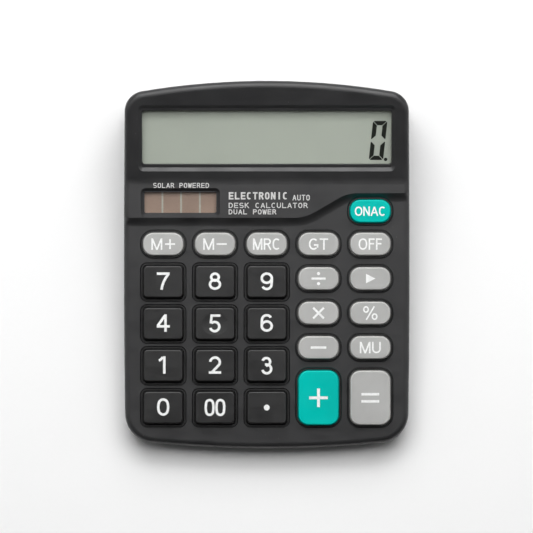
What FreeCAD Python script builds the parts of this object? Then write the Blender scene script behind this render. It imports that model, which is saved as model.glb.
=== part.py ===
"""Desk calculator: a wedge-shaped case with a raised, tilted display head, sprung keys over a rubber
keypad, a main board, a twelve-digit liquid crystal display, a solar cell and one AA cell.

Almost everything is drawn in the deck frame: u to the right, v towards the display and w out of the
keypad deck, whose top face is w = 0. deck_to_desk() then tilts it onto the desk: +X right, +Y to the
rear, +Z up, with the desk at z = 0. The battery bay, its door and the feet are drawn in the desk
frame, because they follow the flat underside. Lengths are in millimetres.
"""

import FreeCAD
import Part
import math
import os

V = FreeCAD.Vector

# ---- driving dimensions --------------------------------------------------------------------------
DECK_TILT = 5.5             # keypad deck against the desk, degrees
DISPLAY_TILT = 13.0         # display face against the keypad deck, degrees
HALF_WIDTH = 58.5           # case, at mid length
HALF_WIDTH_END = 57.9       # case, at its front and rear corners
HALF_LENGTH = 75.1          # case, front or rear edge from the middle, along the deck
REAR_CORNER_V = 69.65       # sharp corner of the rear arc and a side arc
FRONT_CORNER_V = -71.6
REAR_CORNER_R = 8.4
FRONT_CORNER_R = 12.2
FRONT_DECK_HEIGHT = 10.5    # deck above the desk, at the front edge
WALL = 2.0
RIM_R = 2.4                 # rounding along the case's upper edge
PARTING_W = -6.0            # joint plane between the two housings
UNDERSIDE_Z = 1.0           # flat underside above the desk, held there by the feet

STEP_HEIGHT = 1.8           # solar deck above the keypad deck
STEP_LEFT_V = 19.3          # upper edge of the step on the left
STEP_RIGHT_V = 29.4         # and on the right, past the S bend
STEP_BEND_U = 15.6          # where the S bend's 30 degree line would meet the left level
STEP_BEND_ANGLE = 30.0
STEP_BEND_R = 16.0
STEP_RUN = 3.5              # the slope's reach in front of its upper edge
STEP_SLOPE = 40.0
CREASE_V = 34.2             # where the solar deck turns up into the display face
CREASE_R = 11.0

COLUMN_PITCH = 21.17
NUMBER_ROW_PITCH = 17.15
NUMBER_TOP_ROW_V = -7.0
PILL_ROW_PITCH = 14.1
MEMORY_ROW_V = 8.55
TALL_ROW_V = -54.3
POWER_KEY_V = 22.0
KEY_GAP = 0.4               # around a key in its opening
WELL_MARGIN = 1.35          # key edge to the well's upper edge
WELL_FLOOR_MARGIN = 0.95
WELL_DEPTH = 0.6
KEY_TRAVEL = 1.2
NUMBER_DISH = 0.22          # hollow across a number key's top
DIMPLE = 0.2                # extra hollow on the 5 key
FLANGE = 0.8                # key flange, both its reach past the cap and its thickness
FLANGE_TOP_W = -2.1

BOARD_TOP_W = -5.6
BOARD_THICKNESS = 1.2
SHEET_THICKNESS = 0.8       # rubber keypad, between its domes
DOME_TOP_W = -3.2
PILL_THICKNESS = 0.5        # conductive pill under each dome

SCREW_R = 1.1               # thread of the case screws
SCREW_HEAD_R = 2.0
BOSS_R = 2.0

CELL_R = 7.15               # AA cell
CELL_LENGTH = 49.2          # can, without its nub
CELL_NUB = 1.3
CONTACT_X = 29.0            # inner face of the contact plates
PLATE = 0.4                 # thickness of the contact plates
BAY_HALF_WIDTH = CONTACT_X + 1.0
CELL_Y = 61.0
CELL_Z = 10.9

NUMBER_KEY = (16.3, 13.5, 1.5, 2.6)     # width, length, corner radius, height over the deck
PILL_KEY = (16.4, 9.3, 4.1, 2.3)
TALL_KEY = (16.4, 22.2, 4.1, 2.3)

PARTS = {}


# ---- frames and small helpers --------------------------------------------------------------------
def spread(*shapes):
    """One compound of several separate solids."""
    return Part.makeCompound([s for shape in shapes for s in shape.Solids])


def deck_placement():
    """Deck frame to desk frame, apart from the shift that centres the object."""
    turn = FreeCAD.Rotation(V(1, 0, 0), DECK_TILT)
    lift = FRONT_DECK_HEIGHT + HALF_LENGTH * math.sin(math.radians(DECK_TILT))
    return FreeCAD.Placement(V(0, 0, lift), turn)


def display_placement():
    """Display frame (u, c up the display face, h out of it) to deck frame."""
    turn = FreeCAD.Rotation(V(1, 0, 0), DISPLAY_TILT)
    return FreeCAD.Placement(V(0, CREASE_V, STEP_HEIGHT), turn)


def placed(shape, placement):
    moved = shape.copy()
    moved.transformShape(placement.toMatrix(), True)
    return moved


def desk_to_deck(shape):
    return placed(shape, deck_placement().inverse())


def display_to_deck(shape):
    return placed(shape, display_placement())


def box(u0, u1, v0, v1, w0, w1):
    return Part.makeBox(u1 - u0, v1 - v0, w1 - w0, V(u0, v0, w0))


def cylinder(radius, base, length, direction=(0, 0, 1)):
    return Part.makeCylinder(radius, length, V(*base), V(*direction))


def polygon_wire(points):
    return Part.makePolygon([V(*p) for p in points] + [V(*points[0])])


def prism(wire, w0, w1):
    base = wire.copy()
    base.translate(V(0, 0, w0))
    return Part.Face(base).extrude(V(0, 0, w1 - w0))


def rounded_wire(width, length, radius, w, centre=(0, 0)):
    """A rounded rectangle in the plane w."""
    a, b = width / 2, length / 2
    r = min(radius, a - 0.01, b - 0.01)
    k = r * (1 - math.sqrt(0.5))
    cu, cv = centre

    def p(u, v):
        return V(cu + u, cv + v, w)

    return Part.Wire([
        Part.makeLine(p(-a + r, -b), p(a - r, -b)),
        Part.Arc(p(a - r, -b), p(a - k, -b + k), p(a, -b + r)).toShape(),
        Part.makeLine(p(a, -b + r), p(a, b - r)),
        Part.Arc(p(a, b - r), p(a - k, b - k), p(a - r, b)).toShape(),
        Part.makeLine(p(a - r, b), p(-a + r, b)),
        Part.Arc(p(-a + r, b), p(-a + k, b - k), p(-a, b - r)).toShape(),
        Part.makeLine(p(-a, b - r), p(-a, -b + r)),
        Part.Arc(p(-a, -b + r), p(-a + k, -b + k), p(-a + r, -b)).toShape(),
    ])


def rounded_block(width, length, radius, w0, w1, centre=(0, 0)):
    return prism(rounded_wire(width, length, radius, 0, centre), w0, w1)


def tapered_block(size0, size1, w0, w1, centre=(0, 0)):
    """A rounded block whose (width, length, radius) changes from size0 at w0 to size1 at w1."""
    return Part.makeLoft([rounded_wire(*size0, w0, centre), rounded_wire(*size1, w1, centre)], True, True)


def grown(size, margin):
    width, length, radius = size
    return (width + 2 * margin, length + 2 * margin, max(radius + margin, 0.3))


def edges_where(shape, test):
    """Edges whose middle point and direction there pass the test."""
    found = []
    for edge in shape.Edges:
        middle = (edge.FirstParameter + edge.LastParameter) / 2
        if test(edge.valueAt(middle), edge.tangentAt(middle)):
            found.append(edge)
    return found


def rounded_edges(shape, radius, test):
    return shape.makeFillet(radius, edges_where(shape, test))


def side_profile(points, half_width=70.0):
    """A prism along u from (v, w) points, where a (v, w, radius) point is a rounded corner."""
    edges = []
    start = V(0, points[0][0], points[0][1])
    first = start
    for i in range(1, len(points)):
        corner = V(0, points[i][0], points[i][1])
        if len(points[i]) == 3:
            following = V(0, points[i + 1][0], points[i + 1][1])
            before = (start - corner).normalize()
            after = (following - corner).normalize()
            half = before.getAngle(after) / 2
            reach = points[i][2] / math.tan(half)
            bisector = (before + after).normalize()
            middle = corner + bisector * (points[i][2] / math.sin(half) - points[i][2])
            edges.append(Part.makeLine(start, corner + before * reach))
            edges.append(Part.Arc(corner + before * reach, middle, corner + after * reach).toShape())
            start = corner + after * reach
        else:
            edges.append(Part.makeLine(start, corner))
            start = corner
    edges.append(Part.makeLine(start, first))
    face = Part.Face(Part.Wire(edges))
    face.translate(V(-half_width, 0, 0))
    return face.extrude(V(2 * half_width, 0, 0))


def tube_along(points, bend, radius):
    """A wire or lead: straight runs joined by tangent arcs of radius bend."""
    edges = []
    start = V(*points[0])
    for i in range(1, len(points) - 1):
        corner = V(*points[i])
        before = (start - corner).normalize()
        after = (V(*points[i + 1]) - corner).normalize()
        half = before.getAngle(after) / 2
        reach = bend / math.tan(half)
        middle = corner + (before + after).normalize() * (bend / math.sin(half) - bend)
        edges.append(Part.makeLine(start, corner + before * reach))
        edges.append(Part.Arc(corner + before * reach, middle, corner + after * reach).toShape())
        start = corner + after * reach
    edges.append(Part.makeLine(start, V(*points[-1])))
    spine = Part.Wire(edges)
    direction = (V(*points[1]) - V(*points[0])).normalize()
    section = Part.Wire(Part.makeCircle(radius, V(*points[0]), direction))
    return spine.makePipeShell([section], True, True)


# ---- case outline and shells ---------------------------------------------------------------------
def inset_outline(inset):
    """The case seen square to the deck, drawn in by inset: four slightly bowed sides, rounded corners."""
    def arc(a, b, c):
        return Part.Arc(V(*a, 0), V(*b, 0), V(*c, 0)).toShape()

    rear_right, rear_left = (HALF_WIDTH_END, REAR_CORNER_V), (-HALF_WIDTH_END, REAR_CORNER_V)
    front_right, front_left = (HALF_WIDTH_END, FRONT_CORNER_V), (-HALF_WIDTH_END, FRONT_CORNER_V)
    sharp = Part.Wire([
        arc(rear_left, (0, HALF_LENGTH), rear_right),
        arc(rear_right, (HALF_WIDTH, -15), front_right),
        arc(front_right, (0, -HALF_LENGTH), front_left),
        arc(front_left, (-HALF_WIDTH, -15), rear_left),
    ])
    if inset > 0:
        sharp = sharp.makeOffset2D(-inset, 2)
    block = Part.Face(sharp).extrude(V(0, 0, 10))
    block = rounded_edges(block, REAR_CORNER_R - inset, lambda p, t: abs(t.z) > 0.9 and p.y > 0)
    block = rounded_edges(block, FRONT_CORNER_R - inset, lambda p, t: abs(t.z) > 0.9 and p.y < -60)
    bottom = min(block.Faces, key=lambda f: f.CenterOfMass.z)
    return bottom.OuterWire


OUTLINE = inset_outline(0)


def display_face_w(v):
    """Height of the display face over the deck plane."""
    return STEP_HEIGHT + (v - CREASE_V) * math.tan(math.radians(DISPLAY_TILT))


def step_path():
    """The step's upper edge from left to right: two levels and an S bend, as (kind, numbers) pieces."""
    angle = math.radians(STEP_BEND_ANGLE)
    reach = STEP_BEND_R * math.tan(angle / 2)
    rise = STEP_RIGHT_V - STEP_LEFT_V
    low = (STEP_BEND_U, STEP_LEFT_V)
    high = (STEP_BEND_U + rise / math.tan(angle), STEP_RIGHT_V)
    along = (math.cos(angle), math.sin(angle))
    low_end = (low[0] + reach * along[0], low[1] + reach * along[1])
    high_start = (high[0] - reach * along[0], high[1] - reach * along[1])
    return [
        ("line", (-70, low[1]), (low[0] - reach, low[1]), 0.0),
        ("turn", (low[0] - reach, low[1]), (low[0] - reach, low[1] + STEP_BEND_R), 0.0, STEP_BEND_ANGLE),
        ("line", low_end, high_start, STEP_BEND_ANGLE),
        ("turn", high_start, (high[0] + reach, high[1] - STEP_BEND_R), STEP_BEND_ANGLE, -STEP_BEND_ANGLE),
        ("line", (high[0] + reach, high[1]), (70, high[1]), 0.0),
    ]


def step_cutter():
    """What is cut off in front of the step: above its slope, along its whole S-shaped edge."""
    slope = math.radians(STEP_SLOPE)
    foot = STEP_HEIGHT / math.tan(slope)
    tangent = STEP_RUN - foot
    foot_r = tangent / math.tan(slope / 2)
    meet = V(0, -(foot - tangent * math.cos(slope)), tangent * math.sin(slope))
    half_turn = slope / 2
    middle = V(0, -(STEP_RUN - foot_r * math.sin(half_turn)), foot_r * (1 - math.cos(half_turn)))
    reach, top = 12.0, 6.0
    section = Part.Face(Part.Wire([
        Part.makeLine(V(0, 0, STEP_HEIGHT), meet),
        Part.Arc(meet, middle, V(0, -STEP_RUN, 0)).toShape(),
        Part.makeLine(V(0, -STEP_RUN, 0), V(0, -reach, 0)),
        Part.makeLine(V(0, -reach, 0), V(0, -reach, top)),
        Part.makeLine(V(0, -reach, top), V(0, 0, top)),
        Part.makeLine(V(0, 0, top), V(0, 0, STEP_HEIGHT)),
    ]))
    pieces = []
    for piece in step_path():
        start, heading = piece[1], piece[3]
        face = section.copy()
        face.rotate(V(0, 0, 0), V(0, 0, 1), heading)
        face.translate(V(start[0], start[1], 0))
        if piece[0] == "line":
            end = piece[2]
            pieces.append(face.extrude(V(end[0] - start[0], end[1] - start[1], 0)))
        else:
            centre, angle = piece[2], piece[4]
            pieces.append(face.revolve(V(*centre, 0), V(0, 0, 1), angle))
    in_front = [(-70, 4, 0), (70, 4, 0), (70, 18, 0), (33.2, 18, 0), (19, 8, 0), (-70, 8, 0)]
    pieces.append(prism(polygon_wire(in_front), 0, top))
    return pieces[0].multiFuse(pieces[1:])


def case_skin():
    """The closed outer form of the front housing, before it is hollowed."""
    keypad = prism(OUTLINE, PARTING_W, 0)
    far = HALF_LENGTH + 5
    head = side_profile([
        (10, PARTING_W), (10, STEP_HEIGHT), (CREASE_V, STEP_HEIGHT, CREASE_R),
        (far, display_face_w(far)), (far, PARTING_W),
    ]).common(prism(OUTLINE, PARTING_W, 20))
    skin = keypad.fuse(head.cut(step_cutter())).removeSplitter()
    return rounded_edges(skin, RIM_R, on_rim)


def on_rim(point, tangent):
    """True for the edges between the side walls and the upper faces."""
    if point.z < -0.02 or abs(tangent.z) > 0.9:
        return False
    to_wall = OUTLINE.distToShape(Part.Vertex(V(point.x, point.y, 0)))[0]
    return to_wall < 0.05


def case_hollow():
    """The space inside the front housing."""
    rear_v = HALF_LENGTH
    lean = math.tan(math.radians(DISPLAY_TILT))
    ceiling = STEP_HEIGHT - WALL
    inner = side_profile([
        (-80, PARTING_W - 1), (-80, -WALL), (26, -WALL), (30, ceiling), (CREASE_V + 0.5, ceiling),
        (rear_v, ceiling + (rear_v - CREASE_V - 0.5) * lean), (rear_v, PARTING_W - 1),
    ])
    return inner.common(prism(inset_outline(WALL), PARTING_W - 1, 20))


# ---- keys ----------------------------------------------------------------------------------------
def column_u(column):
    """Centre of a key column, counted 0 to 4 from the left."""
    return (column - 2) * COLUMN_PITCH


def key_table():
    """Every key: node name, size, centre."""
    keys = []
    numbers = [["7", "8", "9"], ["4", "5", "6"], ["1", "2", "3"], ["0", "double_zero", "point"]]
    for row, names in enumerate(numbers):
        for column, name in enumerate(names):
            centre = (column_u(column), NUMBER_TOP_ROW_V - row * NUMBER_ROW_PITCH)
            keys.append(("key_" + name, NUMBER_KEY, centre))
    memory = ["memory_plus", "memory_minus", "memory_recall", "grand_total", "off"]
    for column, name in enumerate(memory):
        keys.append(("key_" + name, PILL_KEY, (column_u(column), MEMORY_ROW_V)))
    functions = [["divide", "shift_right"], ["multiply", "percent"], ["minus", "mark_up"]]
    for row, names in enumerate(functions):
        for column, name in enumerate(names):
            centre = (column_u(3 + column), MEMORY_ROW_V - (row + 1) * PILL_ROW_PITCH)
            keys.append(("key_" + name, PILL_KEY, centre))
    keys.append(("key_plus", TALL_KEY, (column_u(3), TALL_ROW_V)))
    keys.append(("key_equals", TALL_KEY, (column_u(4), TALL_ROW_V)))
    keys.append(("key_on_clear", PILL_KEY, (column_u(4), POWER_KEY_V)))
    return keys


KEYS = key_table()


def number_key_cap(size, height):
    """A cap with a shallow dish across it, whose front wall leans back more than its rear wall."""
    width, length, radius = size
    base = rounded_block(width, length, radius, FLANGE_TOP_W - FLANGE, 0)
    upper = Part.makeLoft([
        rounded_wire(width, length, radius, 0),
        rounded_wire(width - 0.5, length - 0.75, radius, height, (0, 0.2)),
    ], True, True)
    dish_r = 150.0
    dish = cylinder(dish_r, (0, -length, height + dish_r - NUMBER_DISH), 2 * length, (0, 1, 0))
    upper = rounded_edges(upper.cut(dish), 0.5, lambda p, t: p.z > height - 0.5 and abs(t.z) < 0.5)
    return base.fuse(upper)


def pill_key_cap(size, height):
    width, length, radius = size
    cap = rounded_block(width, length, radius, FLANGE_TOP_W - FLANGE, height)
    return rounded_edges(cap, 0.6, lambda p, t: p.z > height - 0.01)


def key(name, shape, centre):
    """A moulded key: cap, retaining flange, hollow underside with cross ribs, and the pressing post."""
    width, length, radius, height = shape
    size = (width, length, radius)
    cap = number_key_cap(size, height) if shape is NUMBER_KEY else pill_key_cap(size, height)
    flange_low = FLANGE_TOP_W - FLANGE
    body = cap.fuse(rounded_block(*grown(size, FLANGE), flange_low, FLANGE_TOP_W))
    roof = height - 1.4
    body = body.cut(rounded_block(*grown(size, -1.2), flange_low - 1, roof))
    post = cylinder(1.9, (0, 0, DOME_TOP_W), roof - DOME_TOP_W + 0.4)
    ribs = box(-width / 2 + 0.8, width / 2 - 0.8, -0.4, 0.4, flange_low + 0.3, roof + 0.4)
    ribs = ribs.fuse(box(-0.4, 0.4, -length / 2 + 0.8, length / 2 - 0.8, flange_low + 0.3, roof + 0.4))
    body = body.multiFuse([post, ribs]).removeSplitter()
    if name == "key_5":
        dimple_r = 50.0
        ball = Part.makeSphere(dimple_r, V(0, 0, height - NUMBER_DISH - DIMPLE + dimple_r), V(1, 0, 0))
        body = body.cut(ball)
    body.translate(V(centre[0], centre[1], 0))
    return body


def key_wells():
    """The cutters for every key: a sloped well and the opening through the deck."""
    cutters = []
    for name, (width, length, radius, height), centre in KEYS:
        size = (width, length, radius)
        slope_rate = (WELL_MARGIN - WELL_FLOOR_MARGIN) / WELL_DEPTH
        above = 2.4
        top = grown(size, WELL_MARGIN + slope_rate * above)
        cutters.append(tapered_block(grown(size, WELL_FLOOR_MARGIN), top, -WELL_DEPTH, above, centre))
        cutters.append(rounded_block(*grown(size, KEY_GAP), -WALL - 2, 0, centre))
    return cutters


# ---- display and solar openings ------------------------------------------------------------------
RECESS = (105.0, 27.6, 2.2)         # display recess at the face
RECESS_CENTRE = (0, 18.0)
RECESS_DEPTH = 1.0
WINDOW = (101.2, 21.6, 0.9)         # display opening through the recess floor
WINDOW_CENTRE = (0, 18.05)
RECESS_SLOPE_RUN = 1.4              # width of the recess's sloped sides
LENS_TOP_H = -2.1
SOLAR_RECESS = (32.5, 11.9, 2.2)
SOLAR_OPENING = (29.4, 8.5, 0.6)
SOLAR_CENTRE = (-35.35, 25.6)
SOLAR_DEPTH = 1.2
SOLAR_PANE_TOP_W = -0.2


def display_cutters():
    """Two stepped openings in the display face, in the deck frame."""
    over = 0.5
    floor_size = grown(RECESS, -RECESS_SLOPE_RUN)
    above_size = grown(RECESS, RECESS_SLOPE_RUN * over / RECESS_DEPTH)
    recess = tapered_block(floor_size, above_size, -RECESS_DEPTH, over, RECESS_CENTRE)
    opening = tapered_block(WINDOW, grown(WINDOW, 0.5), LENS_TOP_H - 2, -RECESS_DEPTH + 0.3, WINDOW_CENTRE)
    seat = box(-54.4, 54.4, 3.2, 32.0, LENS_TOP_H - 2, LENS_TOP_H)
    return [display_to_deck(s) for s in (recess, opening, seat)]


def solar_cutters():
    top = STEP_HEIGHT
    floor = top - SOLAR_DEPTH
    floor_size = grown(SOLAR_OPENING, 0.35)
    over = 0.5
    widen = (SOLAR_RECESS[0] - floor_size[0]) / 2 * over / SOLAR_DEPTH
    recess = tapered_block(floor_size, grown(SOLAR_RECESS, widen), floor, top + over, SOLAR_CENTRE)
    opening = rounded_block(*SOLAR_OPENING, -4, floor + 0.1, SOLAR_CENTRE)
    seat = rounded_block(33.0, 12.0, 0.5, -4, SOLAR_PANE_TOP_W, SOLAR_CENTRE)
    return [recess, opening, seat]


# ---- bosses --------------------------------------------------------------------------------------
CASE_SCREWS = [(side * u, v) for u, v in ((31.75, -68.6), (53.4, 34.6), (38.5, 68.9)) for side in (-1, 1)]
BOARD_SCREWS = [(-31.75, -15.6), (-31.75, -49.9), (31.75, -12.6), (31.75, -40.8), (-8.0, 26.0), (21.0, 28.4)]
FRAME_SCREWS = [(side * 30.0, c) for c in (0.9, 34.3) for side in (-1, 1)]
SMALL_BOSS_R = 1.9          # bosses for the board and display frame screws
SMALL_SCREW_R = 0.8
BOSS_END_W = -7.0           # where the case-screw bosses of the two housings meet
FRAME_EAR_H = -5.0          # where the display frame's ears sit on their bosses
EAR_THICKNESS = 1.2


def boss_roof(v):
    """A height inside the thickness of the front housing's top wall."""
    if v < CREASE_V:
        return -WALL + 0.6 if v < 26 else 0.2
    return display_face_w(v) - 0.9


def front_bosses():
    """Bosses for the case, board and display screws, moulded on the front housing."""
    posts, holes = [], []
    for u, v in CASE_SCREWS:
        posts.append(cylinder(BOSS_R, (u, v, BOSS_END_W), boss_roof(v) - BOSS_END_W))
        holes.append(cylinder(SCREW_R - 0.15, (u, v, BOSS_END_W - 1), 5.6))
    for u, v in BOARD_SCREWS:
        posts.append(cylinder(SMALL_BOSS_R, (u, v, BOARD_TOP_W), boss_roof(v) - BOARD_TOP_W))
        holes.append(cylinder(SMALL_SCREW_R - 0.1, (u, v, BOARD_TOP_W - 1), 4.4))
    for u, c in FRAME_SCREWS:
        posts.append(display_to_deck(cylinder(SMALL_BOSS_R, (u, c, FRAME_EAR_H), -0.9 - FRAME_EAR_H)))
        holes.append(display_to_deck(cylinder(SMALL_SCREW_R - 0.1, (u, c, FRAME_EAR_H - 1), 4.2)))
    return posts, holes


def front_housing():
    posts, holes = front_bosses()
    shell = case_skin().cut(case_hollow())
    shell = shell.multiFuse(posts)
    return shell.cut(key_wells() + display_cutters() + solar_cutters() + holes).removeSplitter()


# ---- rear housing --------------------------------------------------------------------------------
DOOR = {"half_width": 31.0, "front_y": 51.5, "thickness": 1.8, "lip_top_z": 7.0}
DOOR_GAP = 0.25
SETBACK = 0.35              # rear housing inside the front housing's outline
TUBE_R = 4.0
TUBE_BORE_R = 2.3
SEAT_THICKNESS = 2.0
LIP_HEIGHT = 1.4
LIP_THICKNESS = 1.1
FEET = [(-45.0, -57.0), (45.0, -57.0), (-45.0, 57.0), (45.0, 57.0)]
FOOT_R = 5.0
FOOT_RECESS = 0.6


def desk_box(x0, x1, y0, y1, z0, z1):
    """A box drawn in the desk frame, carried into the deck frame."""
    return desk_to_deck(box(x0, x1, y0, y1, z0, z1))


def desk_cylinder(radius, base, length, direction=(0, 0, 1)):
    return desk_to_deck(cylinder(radius, base, length, direction))


def above_plane(z):
    """Everything higher than z over the desk, as a large block in the deck frame."""
    return desk_box(-90, 90, -110, 110, z, z + 90)


def tray_skin():
    """The rear housing's closed outer form, with a flat underside."""
    skin = prism(inset_outline(SETBACK), -40, PARTING_W).common(above_plane(UNDERSIDE_Z))
    to_desk = deck_placement()
    return rounded_edges(skin, 1.4, lambda p, t: to_desk.multVec(p).z < UNDERSIDE_Z + 0.01)


def tray_hollow():
    return prism(inset_outline(WALL + SETBACK), -40, PARTING_W + 1).common(above_plane(UNDERSIDE_Z + WALL))


def locating_lip():
    """The thin wall that stands inside the front housing all the way round."""
    lip = prism(inset_outline(WALL + 0.12), PARTING_W - 1.5, PARTING_W + LIP_HEIGHT)
    return lip.cut(prism(inset_outline(WALL + LIP_THICKNESS), PARTING_W - 2, PARTING_W + 3))


def screw_tubes():
    """Deep tubes from the underside up to the bosses, each closed by a seat for the screw head."""
    tubes, bores = [], []
    for u, v in CASE_SCREWS:
        seat_top = BOSS_END_W - 0.05
        tubes.append(cylinder(TUBE_R, (u, v, -35), seat_top + 35))
        bores.append(cylinder(TUBE_BORE_R, (u, v, -36), seat_top - SEAT_THICKNESS + 36))
        bores.append(cylinder(SCREW_R + 0.2, (u, v, -36), 40))
    return tubes, bores


def battery_bay():
    """Walls of the battery compartment and the ribs that hold its contact plates, in the desk frame."""
    x = BAY_HALF_WIDTH
    front, rear = CELL_Y - CELL_R - 0.6, 70.5
    low, high = UNDERSIDE_Z + 0.5, CELL_Z + 2.5
    walls = [
        desk_box(-x - 1.6, x + 1.6, front - 1.5, front, low, high),
        desk_box(-x - 1.6, -x, front - 1.5, rear, low, high),
        desk_box(x, x + 1.6, front - 1.5, rear, low, high),
    ]
    for side in (-1, 1):
        inner, outer = sorted((side * (CONTACT_X - 0.6), side * (CONTACT_X + 0.4)))
        walls.append(desk_box(inner, outer, front, front + 2.9, low + 1.6, high))
        walls.append(desk_box(inner, outer, front + 12.0, front + 15.0, low + 1.6, high))
        inner, outer = sorted((side * (CONTACT_X - 0.6), side * (x + 0.5)))
        walls.append(desk_box(inner, outer, front + 14.0, front + 15.0, low + 1.6, high))
    return walls


def door_opening():
    """The cut for the door: a slot in the underside that runs out through the rear wall."""
    x = DOOR["half_width"] + DOOR_GAP
    front = DOOR["front_y"] - DOOR_GAP
    return [
        desk_box(-x, x, front, 90, UNDERSIDE_Z - 1, UNDERSIDE_Z + WALL + 0.01),
        desk_box(-x, x, 69.0, 90, UNDERSIDE_Z - 1, DOOR["lip_top_z"] + DOOR_GAP),
        desk_box(-x - 1.0, x + 1.0, front + 2.5, 90, UNDERSIDE_Z + 0.55, UNDERSIDE_Z + 1.45),
        desk_box(-5.4, 5.4, front - 1.5, front + 2.3, UNDERSIDE_Z + WALL, UNDERSIDE_Z + WALL + 0.8),
    ]


def rear_housing():
    tubes, bores = screw_tubes()
    inside = prism(inset_outline(0.8), -40, PARTING_W + 0.3).common(above_plane(UNDERSIDE_Z + 0.5))
    within_walls = prism(inset_outline(WALL - 0.6), -40, 4)
    body = tray_skin().cut(tray_hollow()).fuse(locating_lip())
    for u, v in CASE_SCREWS:
        body = body.cut(cylinder(BOSS_R + 0.25, (u, v, BOSS_END_W), 12).common(within_walls))
    supports = [cylinder(1.5, (u, v, -35), 35 + BOARD_TOP_W - BOARD_THICKNESS - 0.15)
                for u in (-2 * COLUMN_PITCH, 0, 2 * COLUMN_PITCH) for v in (-58.0, -32.0, -6.0)]
    body = body.multiFuse([piece.common(inside) for piece in tubes + battery_bay() + supports])
    recesses = [desk_cylinder(FOOT_R + 0.15, (x, y, UNDERSIDE_Z - 1), 1 + FOOT_RECESS) for x, y in FEET]
    label = desk_to_deck(rounded_block(52, 26, 1.5, UNDERSIDE_Z - 1, UNDERSIDE_Z + 0.25, (0, 8)))
    return body.cut(bores + door_opening() + recesses + [label]).removeSplitter()


def battery_door():
    """Sliding door: a plate with side tongues, a rear lip, stiffening ribs, finger ridges and a latch."""
    x = DOOR["half_width"]
    front = DOOR["front_y"]
    low = UNDERSIDE_Z
    inner_z = low + DOOR["thickness"]
    blank = desk_box(-x, x, front, 90, low, inner_z).fuse(desk_box(-x, x, 69.3, 90, low, DOOR["lip_top_z"]))
    lip_hollow = prism(inset_outline(WALL + SETBACK), -40, PARTING_W).common(above_plane(inner_z))
    door = blank.common(tray_skin()).cut(lip_hollow)
    tongues = desk_box(-x - 0.8, x + 0.8, front + 2.8, 66.0, low + 0.7, low + 1.3)
    ribs = [desk_box(u - 0.6, u + 0.6, front + 4.0, 68.5, inner_z - 0.5, CELL_Z - CELL_R - 0.1)
            for u in (-16.0, 0.0, 16.0)]
    latch_top = CELL_Z - CELL_R - 0.1
    latch = [
        desk_box(-5, 5, front - 1.2, front + 0.6, low + WALL + 0.1, latch_top),
        desk_box(-5, 5, front + 0.3, front + 1.4, low + 1.0, latch_top),
    ]
    grooves = [front + 3.0 + 1.6 * i for i in range(4)]
    grip = [desk_box(-8, 8, y, y + 0.7, low - 1, low + 0.35) for y in grooves]
    return door.multiFuse([tongues] + ribs + latch).cut(grip).removeSplitter()


def rubber_feet():
    feet = []
    for x, y in FEET:
        foot = cylinder(FOOT_R, (x, y, 0), UNDERSIDE_Z + FOOT_RECESS)
        foot = foot.makeFillet(0.4, [foot.Edges[i] for i in range(len(foot.Edges))
                                     if foot.Edges[i].BoundBox.ZMax < 0.01])
        feet.append(desk_to_deck(foot))
    return spread(*feet)


# ---- fasteners -----------------------------------------------------------------------------------
def cross_head_screw(u, v, seat_w, length, thread_r, head_r, head_height):
    """A pan-head screw that points up into its boss, with a cross recess in its head."""
    shank = cylinder(thread_r, (u, v, seat_w), length)
    head = cylinder(head_r, (u, v, seat_w - head_height), head_height)
    lowest = seat_w - head_height + 0.01
    head = head.makeFillet(head_height * 0.6, [e for e in head.Edges if e.BoundBox.ZMax < lowest])
    arm, slot = head_r * 0.6, head_r * 0.13
    depth = head_height * 0.6
    recess = [
        box(u - arm, u + arm, v - slot, v + slot, seat_w - head_height - 1, seat_w - head_height + depth),
        box(u - slot, u + slot, v - arm, v + arm, seat_w - head_height - 1, seat_w - head_height + depth),
    ]
    return shank.fuse(head).cut(recess)


def case_screws():
    seat = BOSS_END_W - 0.05 - SEAT_THICKNESS
    sizes = (6.3, SCREW_R - 0.15, SCREW_HEAD_R, 1.5)
    return spread(*[cross_head_screw(u, v, seat, *sizes) for u, v in CASE_SCREWS])


def small_screws():
    """Ten small screws: six through the main board, four through the display frame's ears."""
    def small_screw(u, v, seat_w):
        return cross_head_screw(u, v, seat_w, 4.0, SMALL_SCREW_R - 0.1, 1.6, 1.0)

    board = [small_screw(u, v, BOARD_TOP_W - BOARD_THICKNESS) for u, v in BOARD_SCREWS]
    frame = [display_to_deck(small_screw(u, c, FRAME_EAR_H - EAR_THICKNESS)) for u, c in FRAME_SCREWS]
    return spread(*board, *frame)


# ---- keypad and main board -----------------------------------------------------------------------
def keypad_outline(front_v, rear_v, tab_u, tab_v, half_width):
    """A rectangle with a tab at its rear right for the power key."""
    return polygon_wire([
        (-half_width, front_v, 0), (half_width, front_v, 0), (half_width, tab_v, 0),
        (tab_u, tab_v, 0), (tab_u, rear_v, 0), (-half_width, rear_v, 0),
    ])


def dome_cutters_and_shells():
    """For each key: the dome's outer cone and the hollow under it."""
    foot_w = BOARD_TOP_W + SHEET_THICKNESS
    shells, hollows = [], []
    for name, shape, (u, v) in KEYS:
        shells.append(Part.makeCone(4.1, 2.5, DOME_TOP_W - foot_w + 0.2, V(u, v, foot_w - 0.2), V(0, 0, 1)))
        hollow_top = DOME_TOP_W - 0.6
        hollows.append(Part.makeCone(3.6, 1.9, hollow_top - BOARD_TOP_W, V(u, v, BOARD_TOP_W), V(0, 0, 1)))
    return shells, hollows


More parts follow.
